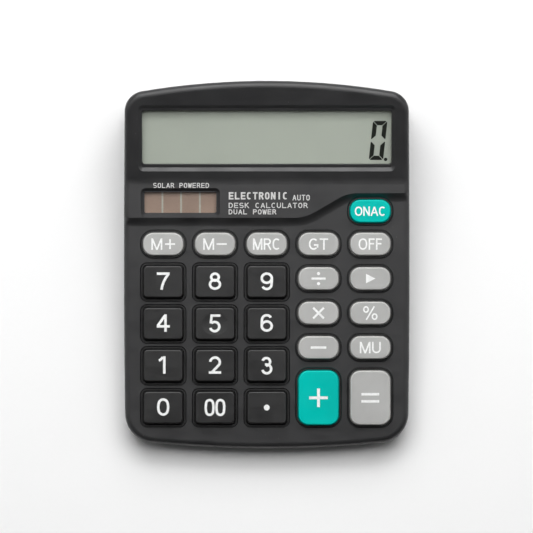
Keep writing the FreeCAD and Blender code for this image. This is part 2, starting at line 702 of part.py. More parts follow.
def keypad_membrane():
    """One sheet of silicone rubber with a hollow dome under every key."""
    outline = keypad_outline(-65.6, 15.0, 31.5, 27.6, 51.4)
    sheet = prism(outline, BOARD_TOP_W, BOARD_TOP_W + SHEET_THICKNESS)
    shells, hollows = dome_cutters_and_shells()
    holes = [cylinder(SMALL_BOSS_R + 0.3, (u, v, -8), 8) for u, v in BOARD_SCREWS]
    return sheet.multiFuse(shells).cut(hollows + holes)


def carbon_pills():
    """Conductive pills moulded into the domes."""
    top = DOME_TOP_W - 0.6
    return spread(*[cylinder(1.6, (u, v, top - PILL_THICKNESS), PILL_THICKNESS) for _, _, (u, v) in KEYS])


def main_board():
    wire = keypad_outline(-65.8, 17.0, -17.0, 31.0, 55.0)
    board = prism(wire, BOARD_TOP_W - BOARD_THICKNESS, BOARD_TOP_W)
    within = prism(inset_outline(WALL + 1.6), -12, 0)
    holes = [cylinder(SMALL_SCREW_R + 0.15, (u, v, -12), 12) for u, v in BOARD_SCREWS]
    front_bosses_clear = [cylinder(BOSS_R + 0.3, (u, v, -12), 12) for u, v in CASE_SCREWS]
    return board.common(within).cut(holes + front_bosses_clear)


def chip_cover():
    """Black resin drop over the bare chip, on the board's underside."""
    low = BOARD_TOP_W - BOARD_THICKNESS
    drop = cylinder(6.0, (6.0, 20.0, low - 1.8), 1.8)
    return rounded_edges(drop, 1.6, lambda p, t: p.z < low - 1.7)


def capacitors():
    low = BOARD_TOP_W - BOARD_THICKNESS
    can_sizes = ((-9.5, 12.5, 2.5, 4.6), (21.0, 12.0, 2.0, 4.2))
    cans = [cylinder(r, (u, v, low - h), h) for u, v, r, h in can_sizes]
    rounded = [c.makeFillet(0.4, [e for e in c.Edges if e.BoundBox.ZMax < low - 3]) for c in cans]
    return spread(*rounded)


def resistors():
    """Small surface-mounted parts in a row beside the chip."""
    low = BOARD_TOP_W - BOARD_THICKNESS
    return spread(*[box(u, u + 2.0, 24.5, 25.75, low - 0.6, low) for u in (27.0, 30.2, 33.4, 36.6)])


# ---- display -------------------------------------------------------------------------------------
LENS_THICKNESS = 1.0
GLASS = {"half_width": 53.0, "front_c": 5.2, "rear_c": 31.0, "top_h": -3.5, "sheet": 0.9}
FRAME_LOW_H = -7.6
DISPLAY_BOARD_H = -7.8
DISPLAY_BOARD_THICKNESS = 1.0


def display_window():
    return display_to_deck(box(-54.2, 54.2, 3.4, 31.8, LENS_TOP_H - LENS_THICKNESS, LENS_TOP_H))


def lcd_glass():
    """Two sheets of glass, the front one wider at its contact edge."""
    g = GLASS
    sheet = (g["front_c"], g["rear_c"], g["top_h"] - g["sheet"], g["top_h"])
    front = box(-g["half_width"], g["half_width"], *sheet)
    rear = box(-g["half_width"], g["half_width"], g["front_c"] + 2.6, g["rear_c"],
               g["top_h"] - 2 * g["sheet"], g["top_h"] - g["sheet"])
    return display_to_deck(front.fuse(rear).removeSplitter())


def lcd_polarizer():
    g = GLASS
    front_c = g["front_c"] + 0.4
    rear_c = g["rear_c"] - 0.4
    return display_to_deck(box(-52.3, 52.3, front_c, rear_c, g["top_h"], g["top_h"] + 0.2))


def lcd_reflector():
    g = GLASS
    low = g["top_h"] - 2 * g["sheet"]
    return display_to_deck(box(-52.3, 52.3, g["front_c"] + 3.0, g["rear_c"] - 0.4, low - 0.2, low))


def zebra_strip():
    """Elastomer connector between the glass's contact edge and the display board."""
    g = GLASS
    top = g["top_h"] - g["sheet"]
    return display_to_deck(box(-50, 50, g["front_c"] + 0.3, g["front_c"] + 2.1, DISPLAY_BOARD_H, top))


def display_frame():
    """Moulded frame that holds the glass square to its window."""
    g = GLASS
    outer = box(-54.2, 54.2, 3.4, 31.7, FRAME_LOW_H, LENS_TOP_H - LENS_THICKNESS)
    sight = box(-52.5, 52.5, 5.4, 30.8, -20, 0)
    pocket = box(-53.15, 53.15, 5.05, 31.15, g["top_h"] - 2 * g["sheet"] - 0.6, g["top_h"] + 0.05)
    back = box(-52.2, 52.2, 8.5, 30.5, FRAME_LOW_H - 1, g["top_h"])
    ears, holes = [], []
    for u, c in FRAME_SCREWS:
        inward = 3.5 if c < 10 else -3.5
        low = FRAME_EAR_H - EAR_THICKNESS
        ears.append(cylinder(2.4, (u, c, low), EAR_THICKNESS))
        ears.append(box(u - 2.4, u + 2.4, min(c, c + inward), max(c, c + inward), low, FRAME_EAR_H))
        holes.append(cylinder(SMALL_SCREW_R + 0.15, (u, c, low - 5), 10))
    return display_to_deck(outer.cut([sight, pocket, back]).multiFuse(ears).cut(holes + [pocket]))


def display_board():
    board = box(-54.0, 54.0, 3.6, 29.5, DISPLAY_BOARD_H - DISPLAY_BOARD_THICKNESS, DISPLAY_BOARD_H)
    return display_to_deck(board)


def display_ribbon():
    """Flat cable from the display board down to the underside of the main board's rear edge."""
    low_h = DISPLAY_BOARD_H - DISPLAY_BOARD_THICKNESS
    start = display_placement().multVec(V(0, 12.0, low_h))
    board_low = BOARD_TOP_W - BOARD_THICKNESS
    drop_w = board_low - 1.6
    half = 0.25
    points = [(start.y, start.z - 0.08), (start.y - 0.4, drop_w), (30.5, drop_w), (29.0, board_low - 0.18)]
    strips = []
    for (v0, w0), (v1, w1) in zip(points, points[1:]):
        run = V(0, v1 - v0, w1 - w0).normalize()
        side = V(0, -run.z, run.y) * half
        corners = [V(-4, v0, w0) + side, V(-4, v1, w1) + side, V(-4, v1, w1) - side, V(-4, v0, w0) - side]
        strips.append(Part.Face(Part.makePolygon(corners + corners[:1])).extrude(V(18, 0, 0)))
    joints = [cylinder(half, (-4, v, w), 18, (1, 0, 0)) for v, w in points[1:-1]]
    return strips[0].multiFuse(strips[1:] + joints).removeSplitter()


# ---- solar cell and power ------------------------------------------------------------------------
def solar_window():
    return rounded_block(32.6, 11.6, 0.5, SOLAR_PANE_TOP_W - 0.7, SOLAR_PANE_TOP_W, SOLAR_CENTRE)


def solar_cell():
    top = SOLAR_PANE_TOP_W - 0.7
    return rounded_block(32.6, 11.6, 0.3, top - 1.1, top, SOLAR_CENTRE)


def to_deck_point(x, y, z):
    """A desk-frame point in the deck frame."""
    p = deck_placement().inverse().multVec(V(x, y, z))
    return (p.x, p.y, p.z)


def solar_lead(u_cell, v):
    """A lead from the back of the solar cell to the underside of the main board."""
    back = SOLAR_PANE_TOP_W - 1.8
    low = BOARD_TOP_W - BOARD_THICKNESS
    u_board = -14.5
    points = [(u_cell, v, back), (u_cell, v, low - 1.8), (u_board, v, low - 1.8), (u_board, v, low)]
    return tube_along(points, 1.2, 0.5)


def battery_cell():
    """AA cell: the steel can and its positive nub."""
    end = CELL_LENGTH / 2
    can = cylinder(CELL_R, (-end, CELL_Y, CELL_Z), CELL_LENGTH, (1, 0, 0))
    can = rounded_edges(can, 0.6, lambda p, t: abs(abs(p.x) - end) < 0.01)
    nub = cylinder(2.75, (end - 0.5, CELL_Y, CELL_Z), CELL_NUB + 0.5, (1, 0, 0))
    nub = rounded_edges(nub, 0.4, lambda p, t: p.x > end + CELL_NUB - 0.01)
    return desk_to_deck(can.fuse(nub))


def contact_plate(side):
    """Spring-steel plate at one end of the bay, held between its wall and its ribs."""
    inner, outer = sorted((side * (CONTACT_X + 0.5), side * (CONTACT_X + 0.5 + PLATE)))
    return box(inner, outer, CELL_Y - 5.5, CELL_Y + 6.0, UNDERSIDE_Z + WALL + 1.0, CELL_Z + 5.5)


def battery_contact():
    """Positive contact: a plate with a pressed button that meets the cell's nub."""
    tip = CELL_LENGTH / 2 + CELL_NUB
    button = Part.makeCone(2.0, 3.4, CONTACT_X + 0.6 - tip, V(tip, CELL_Y, CELL_Z), V(1, 0, 0))
    return desk_to_deck(contact_plate(1).fuse(button).removeSplitter())


def battery_spring():
    """Negative contact: a plate and a coil of round wire."""
    wire_r, turns, coil_r = 0.4, 3.5, 3.6
    start = -(CELL_LENGTH / 2 + wire_r)
    height = CONTACT_X + 0.5 - wire_r + start
    helix = Part.makeLongHelix(height / turns, height, coil_r)
    section = Part.Wire(Part.makeCircle(wire_r, V(coil_r, 0, 0), V(0, 1, 0)))
    coil = helix.makePipeShell([section], True, True)
    coil.rotate(V(0, 0, 0), V(0, 1, 0), -90)
    coil.translate(V(start, CELL_Y, CELL_Z))
    return desk_to_deck(coil.fuse(contact_plate(-1)).removeSplitter())


def battery_lead(side, u_board):
    """A lead from a contact plate forward, under the display, to the main board's rear edge."""
    low = BOARD_TOP_W - BOARD_THICKNESS
    v = 29.5
    start = to_deck_point(side * (CONTACT_X + 0.5), CELL_Y - 4.5, CELL_Z + 5.0)
    ahead = to_deck_point(side * (CONTACT_X - 2.5), CELL_Y - 4.5, CELL_Z + 5.0)
    return tube_along([
        start, ahead, (ahead[0], 46.0, ahead[2]), (ahead[0], 37.0, low - 2.4),
        (u_board, v, low - 2.4), (u_board, v, low),
    ], 1.2, 0.55)


# ---- assembly ------------------------------------------------------------------------------------
def build():
    PARTS["front_housing"] = front_housing()
    PARTS["rear_housing"] = rear_housing()
    PARTS["battery_door"] = battery_door()
    PARTS["rubber_feet"] = rubber_feet()
    PARTS["case_screws"] = case_screws()
    for name, shape, centre in KEYS:
        PARTS[name] = key(name, shape, centre)
    PARTS["keypad_membrane"] = keypad_membrane()
    PARTS["carbon_pills"] = carbon_pills()
    PARTS["main_board"] = main_board()
    PARTS["small_screws"] = small_screws()
    PARTS["chip_cover"] = chip_cover()
    PARTS["capacitors"] = capacitors()
    PARTS["resistors"] = resistors()
    PARTS["display_window"] = display_window()
    PARTS["lcd_polarizer"] = lcd_polarizer()
    PARTS["lcd_glass"] = lcd_glass()
    PARTS["lcd_reflector"] = lcd_reflector()
    PARTS["zebra_strip"] = zebra_strip()
    PARTS["display_frame"] = display_frame()
    PARTS["display_board"] = display_board()
    PARTS["display_ribbon"] = display_ribbon()
    PARTS["solar_window"] = solar_window()
    PARTS["solar_cell"] = solar_cell()
    PARTS["solar_lead_positive"] = solar_lead(-24.0, 20.5)
    PARTS["solar_lead_negative"] = solar_lead(-46.0, 24.0)
    PARTS["battery_cell"] = battery_cell()
    PARTS["battery_contact"] = battery_contact()
    PARTS["battery_spring"] = battery_spring()
    PARTS["battery_lead_positive"] = battery_lead(1, 34.0)
    PARTS["battery_lead_negative"] = battery_lead(-1, -13.0)


def desk_placement():
    """Deck frame to desk frame, with the closed case centred over the origin."""
    seated = deck_placement()
    closed = spread(PARTS["front_housing"], PARTS["rear_housing"], PARTS["battery_door"])
    extent = placed(closed, seated).optimalBoundingBox(False, False)
    seated.Base = seated.Base - V(0, (extent.YMin + extent.YMax) / 2, 0)
    return seated


if __name__ == "__main__":
    build()
    os.makedirs("parts", exist_ok=True)
    seated = desk_placement()
    for name, shape in PARTS.items():
        placed(shape, seated).exportStep(f"parts/{name}.step")
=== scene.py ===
"""Desk calculator: finishes, printed legends, display characters, keypad rubber and studio.

Every size is in metres in the model's own frame. Two tilted planes are used all through: the deck,
which the keys stand on, and the display face behind it.
"""

import math

import bmesh
import bpy
from bpy.props import FloatProperty, FloatVectorProperty, PointerProperty
from mathutils import Matrix, Vector


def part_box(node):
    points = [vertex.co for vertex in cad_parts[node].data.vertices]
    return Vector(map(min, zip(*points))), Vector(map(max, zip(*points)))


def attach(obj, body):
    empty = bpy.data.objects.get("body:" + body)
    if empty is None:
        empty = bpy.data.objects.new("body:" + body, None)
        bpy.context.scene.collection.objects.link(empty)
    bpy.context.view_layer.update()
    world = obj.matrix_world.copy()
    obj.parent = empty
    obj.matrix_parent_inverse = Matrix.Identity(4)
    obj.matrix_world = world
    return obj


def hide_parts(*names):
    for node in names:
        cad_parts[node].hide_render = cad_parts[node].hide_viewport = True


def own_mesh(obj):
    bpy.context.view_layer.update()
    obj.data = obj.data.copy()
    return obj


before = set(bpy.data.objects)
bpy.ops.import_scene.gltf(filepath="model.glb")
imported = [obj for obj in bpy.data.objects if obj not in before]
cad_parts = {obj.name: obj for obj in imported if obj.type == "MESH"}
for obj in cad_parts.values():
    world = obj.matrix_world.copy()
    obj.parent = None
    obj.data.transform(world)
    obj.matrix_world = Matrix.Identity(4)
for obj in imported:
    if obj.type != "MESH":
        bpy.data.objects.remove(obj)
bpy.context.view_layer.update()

bl_info = {
    "name": "Desk Calculator",
    "version": (1, 0, 0),
    "blender": (4, 5, 0),
    "location": "View3D > Sidebar > Desk Calculator",
    "description": "Finishes, legends, display and studio for a desk calculator",
    "category": "Object",
}

MM = 0.001
SHEET_THICKNESS = 0.8 * MM
CUT_CLEARANCE = 0.02 * MM        # the domes are parted just above the sheet
LAYER_STEP = 0.003 * MM          # how far each stroke of a legend stands over the one before
PRINT_THICKNESS = 0.06 * MM
SMUDGE_GLOSS = 0.1               # how much smoother a plastic is where fingers have been
DUST = (0.5, 0.49, 0.47, 1.0)
TARNISH = (0.35, 0.3, 0.24, 1.0)

DECK_TILT = math.radians(5.5)
DISPLAY_TILT = math.radians(13.0)
DECK_ORIGIN = Vector((0.0, -1.0135, 17.6980)) * MM
DISPLAY_HINGE = Vector((0.0, 34.2, 1.8)) * MM
DECK = Matrix.Translation(DECK_ORIGIN) @ Matrix.Rotation(DECK_TILT, 4, "X")
DISPLAY = DECK @ Matrix.Translation(DISPLAY_HINGE) @ Matrix.Rotation(DISPLAY_TILT, 4, "X")
UPPER_DECK = DECK @ Matrix.Translation((0.0, 0.0, 1.8 * MM))
DECK_UP = DECK.to_3x3() @ Vector((0.0, 0.0, 1.0))

NOUGHT_RIGHT = 47.7 * MM         # right edge and foot of the nought, on the display face
NOUGHT_BASE = 8.15 * MM
BAR_PLACES = (0.274, 0.508, 0.744)   # collector bars, in shares of the solar cell's width
CAMERA_AIM = (-0.1 * MM, -0.62 * MM)
BLUE_BAND = (4.0 * MM, 16.6 * MM)    # printed band along the cell, from the middle of the case
BAND_EDGE = 0.3 * MM

NUMBER_KEYS = [f"key_{name}" for name in (*range(10), "double_zero", "point")]
GREY_KEYS = [
    f"key_{name}"
    for name in (
        "memory_plus memory_minus memory_recall grand_total off divide "
        "shift_right multiply percent minus mark_up equals"
    ).split()
]
TEAL_KEYS = ["key_on_clear", "key_plus"]
ALL_KEYS = NUMBER_KEYS + GREY_KEYS + TEAL_KEYS


# ---------------------------------------------------------------- sizes and colours


def length(name, description, default):
    return FloatProperty(name=name, description=description, default=default, unit="LENGTH", precision=5)


def colour(name, description, default):
    return FloatVectorProperty(
        name=name, description=description, default=default, subtype="COLOR", min=0.0, max=1.0
    )


class CalculatorLegends(bpy.types.PropertyGroup):
    digit_height: length("Digit height", "Height of the numbers on the number keys", 7.15 * MM)
    digit_width: length("Digit width", "Width of a round number", 5.1 * MM)
    digit_stroke: length("Digit stroke", "Width of the lines of a number", 1.04 * MM)
    word_height: length("Word height", "Height of the letters on the function keys", 4.7 * MM)
    word_stroke: length("Word stroke", "Width of the lines of those letters", 0.66 * MM)
    ink_rise: length("Ink rise", "How far the printed ink stands over the key", 0.03 * MM)
    ink_sink: length("Ink sink", "How far the ink goes into the key", 0.05 * MM)
    ink: colour("Ink", "Colour of the legends", (0.93, 0.94, 0.93))
    deck_ink: colour("Deck ink", "Colour of the small print on the deck", (0.62, 0.62, 0.61))


class CalculatorColours(bpy.types.PropertyGroup):
    case: colour("Case", "Colour of the case mouldings", (0.0195, 0.0195, 0.0208))
    number_keys: colour("Number keys", "Colour of the number keys", (0.0095, 0.0095, 0.01))
    grey_keys: colour("Grey keys", "Colour of the function keys", (0.44, 0.44, 0.43))
    teal_keys: colour("Teal keys", "Colour of the plus and on keys", (0.0, 0.5, 0.44))
    display: colour("Display", "Colour of the display's field", (0.536, 0.57, 0.505))
    segments: colour("Segments", "Colour of a dark display segment", (0.010, 0.012, 0.008))
    solar: colour("Solar cell", "Colour of the solar cell's strips", (0.34, 0.24, 0.19))


class CalculatorDisplay(bpy.types.PropertyGroup):
    digit_height: length("Character height", "Height of a display character", 16.5 * MM)
    digit_width: length("Character width", "Width of a display character", 6.1 * MM)
    stroke: length("Segment width", "Width of a segment", 2.0 * MM)
    gap: length("Segment gap", "Gap between two segments", 0.22 * MM)
    slant: FloatProperty(
        name="Slant", description="Lean of the characters", default=math.radians(6.0), subtype="ANGLE"
    )


class CalculatorStudio(bpy.types.PropertyGroup):
    camera_distance: length("Camera distance", "Distance from the deck to the camera", 2.0)
    camera_lens: FloatProperty(
        name="Lens", description="Focal length of the camera", default=330.0, subtype="DISTANCE_CAMERA"
    )
    soft_box: FloatProperty(
        name="Soft box", description="Power of the big light behind", default=9.5, unit="POWER"
    )
    overhead: FloatProperty(
        name="Overhead", description="Power of the big light above", default=10.5, unit="POWER"
    )
    side_fill: FloatProperty(
        name="Side fill", description="Power of each light beside", default=2.0, unit="POWER"
    )
    sky: FloatProperty(name="Sky", description="Strength of the soft light overhead", default=0.65)
    surround: FloatProperty(name="Surround", description="Strength of the light from the sides", default=0.3)
    floor: colour("Floor", "Colour of the floor", (0.93, 0.93, 0.93))


# ---------------------------------------------------------------- selecting and drawing


def clear_selection():
    """Leaves edit mode and selects nothing."""
    if bpy.context.mode != "OBJECT":
        bpy.ops.object.mode_set(mode="OBJECT")
    bpy.ops.object.select_all(action="DESELECT")


def take(obj):
    """Makes obj the only selected object."""
    clear_selection()
    obj.select_set(True)
    bpy.context.view_layer.objects.active = obj
    return obj


def choose(kind, test):
    """Selects the vertices, edges or faces of the edited mesh that pass test."""
    bpy.ops.mesh.select_all(action="DESELECT")
    bpy.ops.mesh.select_mode(type=kind)
    mesh = bmesh.from_edit_mesh(bpy.context.edit_object.data)
    parts = {"VERT": mesh.verts, "EDGE": mesh.edges, "FACE": mesh.faces}[kind]
    for part in parts:
        if test(part):
            part.select_set(True)
    mesh.select_flush_mode()
    bmesh.update_edit_mesh(bpy.context.edit_object.data)


def middle(part):
    """The middle of an edge or face."""
    return sum((v.co for v in part.verts), Vector()) / len(part.verts)


def put_in_place(obj, plane):
    """Sets obj's drawing down on plane and writes the place into its mesh."""
    take(obj)
    obj.matrix_world = plane @ obj.matrix_world
    write_place()
    return obj


def write_place():
    """Leaves edit mode and writes the selected object's place into its mesh."""
    bpy.ops.object.mode_set(mode="OBJECT")
    bpy.ops.object.transform_apply(location=True, rotation=True, scale=True)


def edit_square(size, place, heading=0.0):
    """A new flat square, opened for editing."""
    clear_selection()
    bpy.ops.mesh.primitive_plane_add(size=size, location=place, rotation=(0.0, 0.0, heading))
    bpy.ops.object.mode_set(mode="EDIT")
    return bpy.context.object


def pick_all():
    bpy.ops.mesh.select_all(action="SELECT")


def apply_modifier(obj, kind, **settings):
    modifier = obj.modifiers.new(kind.title(), kind)
    for key, value in settings.items():
        setattr(modifier, key, value)
    take(obj)
    bpy.ops.object.modifier_apply(modifier=modifier.name)


def join_pieces(pieces, name):
    clear_selection()
    for piece in pieces:
        piece.select_set(True)
    bpy.context.view_layer.objects.active = pieces[0]
    if len(pieces) > 1:
        bpy.ops.object.join()
    joined = bpy.context.view_layer.objects.active
    joined.name = name
    joined.data.name = name
    return joined


def finish_piece(obj, name, material, body):
    obj.name = name
    obj.data.name = name
    obj.data.materials.clear()
    obj.data.materials.append(material)
    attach(obj, body)
    return obj


def extent(node, plane):
    """Lowest and highest corner of a CAD node, measured along plane."""
    turned = plane.inverted()
    points = [turned @ v.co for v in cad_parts[node].data.vertices]
    low = Vector([min(p[i] for p in points) for i in range(3)])
    high = Vector([max(p[i] for p in points) for i in range(3)])
    return low, high


def key_centre(node):
    low, high = extent(node, DECK)
    return Vector(((low.x + high.x) / 2, (low.y + high.y) / 2, high.z))


# ---------------------------------------------------------------- strokes of a legend


def stroke(start, heading, *runs):
    """A stroke begins at start (mm) in direction heading (degrees). A run is a length in mm, or a
    radius and a bend in degrees, left turns being positive."""
    return Vector((*start, 0.0)), math.radians(heading), runs


def line(a, b):
    """A straight stroke from a to b."""
    dx, dy = b[0] - a[0], b[1] - a[1]
    return stroke(a, math.degrees(math.atan2(dy, dx)), math.hypot(dx, dy))


def oval(centre, half_width, half_height, end_radius):
    """A closed oval of four arcs, begun in the middle of a long side and drawn clockwise."""
    a, b, r = *sorted((half_width, half_height)), end_radius
    side = (a * a + b * b - 2 * b * r) / (2 * (a - r))
    turn = math.degrees(math.atan2(b - r, side - a))
    crown = 2 * (90 - turn)
    runs = [(side, -turn), (r, -crown), (side, -2 * turn), (r, -crown), (side, -turn)]
    if half_height >= half_width:
        return stroke((centre[0] - half_width, centre[1]), 90, *runs)
    return stroke((centre[0], centre[1] + half_height), 0, *runs)


def draw_stroke(drawn, width, height=0.0):
    """Lays a pen edge across the stroke's start, pulls it along straights and spins it round bends."""
    start, heading, runs = drawn
    here = start * MM
    here.z = height
    ahead = Vector((math.cos(heading), math.sin(heading), 0.0))
    drawing = edit_square(width, here - ahead * width / 2, heading)
    choose("VERT", lambda v: v.co.x < 0)
    bpy.ops.mesh.delete(type="VERT")
    pick_all()
    for run in runs:
        if isinstance(run, tuple):
            radius, bend = run[0] * MM, math.radians(run[1])
            side = Vector((-ahead.y, ahead.x, 0.0)) * math.copysign(radius, bend)
            centre = here + side
            steps = max(2, round(abs(run[1]) / 9))
            bpy.ops.mesh.spin(steps=steps, angle=-bend, center=centre, axis=(0.0, 0.0, 1.0))
            turn = Matrix.Rotation(bend, 3, "Z")
            here = centre - turn @ side
            ahead = turn @ ahead
        elif run > 0.0:
            bpy.ops.mesh.extrude_region_move(TRANSFORM_OT_translate={"value": ahead * run * MM})
            here = here + ahead * run * MM
    pick_all()
    bpy.ops.mesh.remove_doubles(threshold=0.004 * MM)
    face_up()
    write_place()
    return drawing


def face_up():
    """Turns the edited flat drawing's faces to look up."""
    choose("FACE", lambda f: f.normal.z < 0)
    bpy.ops.mesh.flip_normals()
    pick_all()


def draw_dot(centre, radius):
    """A printed round dot, with a rim ring so that its edge stays round."""
    clear_selection()
    place = (centre[0] * MM, centre[1] * MM, 0.0)
    bpy.ops.mesh.primitive_circle_add(vertices=28, radius=radius * MM, fill_type="NGON", location=place)
    dot = bpy.context.object
    bpy.ops.object.mode_set(mode="EDIT")
    pick_all()
    bpy.ops.mesh.inset(thickness=radius * MM * 0.35)
    face_up()
    write_place()
    return dot


def draw_arrow_head(left, half_height, reach):
    """A solid triangle that points right."""
    head = edit_square(1.0, (left * MM, 0.0, 0.0))
    bpy.ops.transform.resize(value=(reach * MM, 2 * half_height * MM, 1.0))
    bpy.ops.transform.translate(value=(reach * MM / 2, 0.0, 0.0))
    choose("VERT", lambda v: v.co.x > reach * MM / 2)
    bpy.ops.mesh.merge(type="CENTER")
    pick_all()
    face_up()
    write_place()
    return head


def digit_strokes(digit, height, width, ink):
    """The strokes of a number, about its middle, all in mm."""
    top = (height - ink) / 2
    side = (width - ink) / 2
    edge = height / 2
    bowl = 0.61 * top
    six = [
        stroke((-side, -0.35 * top), 90, 0.35 * top, (10.3, -8.85), (side * 0.949, -142.0)),
        oval((0.0, bowl - top), side, bowl, bowl * 0.95),
    ]
    drawn = {
        "0": [oval((0.0, 0.0), side, top, side * 0.9)],
        "1": [
            line((0.45, -edge), (0.45, edge)),
            stroke((-1.75, 1.8), 24, (3.2, 34), 0.3),
        ],
        "2": [
            stroke((-side * 0.93, 1.35), 84, (side * 0.95, -218), 4.0),
            line((-side - 0.5, -top), (side + 0.5, -top)),
        ],
        "3": [
            stroke((-1.65, 1.75), 74, (1.54, -248), 0.3),
            stroke((-0.75, 0.22), 0, 0.75, (1.8, -256)),
        ],
        "4": [
            line((0.95, -edge), (0.95, edge)),
            line((-side - 0.6, -1.35), (side + 0.65, -1.35)),
            line((-side - 0.2, -1.1), (0.72, edge - 0.5)),
        ],
        "5": [
            line((-1.4, top), (side + 0.2, top)),
            line((-1.28, edge - 0.05), (-1.72, -0.15)),
            stroke((-1.5, -0.15), 47, (1.88, -300)),
        ],
        "6": six,
        "7": [
            line((-side - 0.6, top), (side + 0.6, top)),
            stroke((side + 0.1, top - 0.2), -130, (12.6, 32)),
        ],
        "8": [
            oval((0.0, top - 1.42), 1.54, 1.42, 1.3),
            oval((0.0, 1.76 - top), side, 1.76, 1.62),
        ],
    }
    if digit == "9":
        return [(Vector((-at.x, -at.y, 0.0)), turned + math.pi, runs) for at, turned, runs in six]
    return drawn[digit]


def letter_strokes(letter, left, width, height, ink):
    """The strokes of a capital letter or sign whose left edge is at left, all in mm."""
    e = ink / 2
    l, r = left + e, left + width - e
    t, edge = height / 2 - e, height / 2
    mid = (l + r) / 2
    half = (r - l) / 2
    bowl = min(half * 0.93, t * 0.9)
    open_side = (half * half + t * t - 2 * t * bowl) / (2 * (half - bowl))
    turn = math.degrees(math.atan2(t - bowl, open_side - half))
    crown = 90 - turn
    curl = t / 2
    slack = max(0.0, 2 * (half - curl))
    round_side = min(t, 0.5 * width)
    back = [
        stroke((mid, t), 180, (bowl, crown), (open_side, 2 * turn), (bowl, crown + 50)),
        stroke((mid, t), 0, (bowl, -52)),
    ]
    stem = line((l, -edge), (l, edge))
    right_stem = line((r, -edge), (r, edge))
    top_bar = line((l, t), (left + width, t))
    shapes = {
        "M": [
            stem,
            right_stem,
            line((l + 0.1, edge - 0.2), (mid, -edge)),
            line((mid, -edge), (r - 0.1, edge - 0.2)),
        ],
        "N": [
            stem,
            right_stem,
            line((l + 0.1, edge - 0.2), (r - 0.1, 0.2 - edge)),
        ],
        "U": [stroke((l, edge), -90, edge + t - half, (half, 180), edge + t - half)],
        "R": [
            stem,
            stroke((l, t), 0, width * 0.5 - ink * 0.4, (t / 2, -180), width * 0.5 - ink * 0.4),
            line((mid + 0.1, 0.0), (r + 0.1, -edge)),
        ],
        "C": back,
        "G": back
        + [line((mid + 0.1, -0.35), (r + e, -0.35)), line((r, -0.1), (r, -t * 0.72))],
        "T": [line((left, t), (left + width, t)), line((mid, t), (mid, -edge))],
        "O": [oval((mid, 0.0), half, t, bowl)],
        "F": [
            stem,
            top_bar,
            line((l, 0.15), (left + width * 0.9, 0.15)),
        ],
        "A": [
            line((l - 0.1, -edge), (mid, edge - 0.1)),
            line((mid, edge - 0.1), (r + 0.1, -edge)),
            line((l + half * 0.35, -t * 0.38), (r - half * 0.35, -t * 0.38)),
        ],
        "D": [
            stem,
            stroke(
                (l, t),
                0,
                2 * half - round_side,
                (round_side, -90),
                2 * (t - round_side),
                (round_side, -90),
                2 * half - round_side,
            ),
        ],
        "E": [
            stem,
            top_bar,
            line((l, 0.0), (left + width * 0.93, 0.0)),
            line((l, -t), (left + width, -t)),
        ],
        "I": [line((mid, -edge), (mid, edge))],
        "K": [
            stem,
            line((l, -0.1 * edge), (r, edge)),
            line((l + half * 0.5, 0.2 * edge), (r + 0.1 * width, -edge)),
        ],
        "L": [stem, line((l, -t), (left + width, -t))],
        "P": [
            stem,
            stroke((l, t), 0, 2 * half - t / 2, (t / 2, -180), 2 * half - t / 2),
        ],
        "S": [
            stroke(
                (mid + slack / 2 + curl * 0.87, t / 2 + curl * 0.5),
                120,
                (curl, 60),
                slack,
                (curl, 180),
                slack,
                (curl, -180),
                slack,
                (curl, -60),
            )
        ],
        "W": [
            line((left + 0.1 * width, edge), (mid - half * 0.5, -edge)),
            line((mid - half * 0.5, -edge), (mid, edge * 0.8)),
            line((mid, edge * 0.8), (mid + half * 0.5, -edge)),
            line((mid + half * 0.5, -edge), (left + 0.9 * width, edge)),
        ],
        "+": [
            line((left, 0.0), (left + width, 0.0)),
            line((mid, -width / 2), (mid, width / 2)),
        ],
        "-": [line((left, 0.0), (left + width, 0.0))],
    }
    return shapes[letter]


def word_strokes(word, widths, gap, height, ink):
    """Letters side by side, centred, with their widths in mm."""
    total = sum(widths) + gap * (len(widths) - 1)
    left, strokes = -total / 2, []
    for letter, width in zip(word, widths):
        strokes += letter_strokes(letter, left, width, height, ink)
        left += width + gap
    return strokes


def print_on_key(node, drawings):
    """Lowers flat drawings onto the key's own surface and gives the ink its thickness."""
    legends = bpy.context.scene.calculator_legends
    centre = key_centre(node)
    above = DECK @ Matrix.Translation((centre.x, centre.y, centre.z + MM))
    for count, drawing in enumerate(drawings):
        drawing.matrix_world = above
        rise = legends.ink_rise + count * LAYER_STEP
        apply_modifier(
            drawing,
            "SHRINKWRAP",
            target=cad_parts[node],
            wrap_method="PROJECT",
            use_project_z=True,
            use_positive_direction=False,
            use_negative_direction=True,
            offset=rise,
        )
        apply_modifier(drawing, "SOLIDIFY", thickness=rise + legends.ink_sink, offset=-1.0)
    joined = join_pieces(drawings, node.replace("key_", "legend_"))
    write_place()
    return joined


def print_words(words, plane, left, base, width, height, pen):
    """Small print lying on plane: its letters share the width evenly. Sizes in mm."""
    pitch = width / len(words)
    strokes = []
    for count, letter in enumerate(words):
        if letter == " ":
            continue
        wide = pitch * (0.3 if letter == "I" else 0.92 if letter in "MW" else 0.78)
        start = (pitch - wide) / 2 + pitch * count
        strokes += letter_strokes(letter, start, wide, height, pen)
    drawings = [draw_stroke(s, pen * MM, n % 5 * LAYER_STEP) for n, s in enumerate(strokes)]
    words_piece = join_pieces(drawings, "words")
    apply_modifier(words_piece, "SOLIDIFY", thickness=PRINT_THICKNESS, offset=-1.0)
    return put_in_place(words_piece, plane @ Matrix.Translation((left * MM, (base + height / 2) * MM, 0.0)))


# ---------------------------------------------------------------- material building


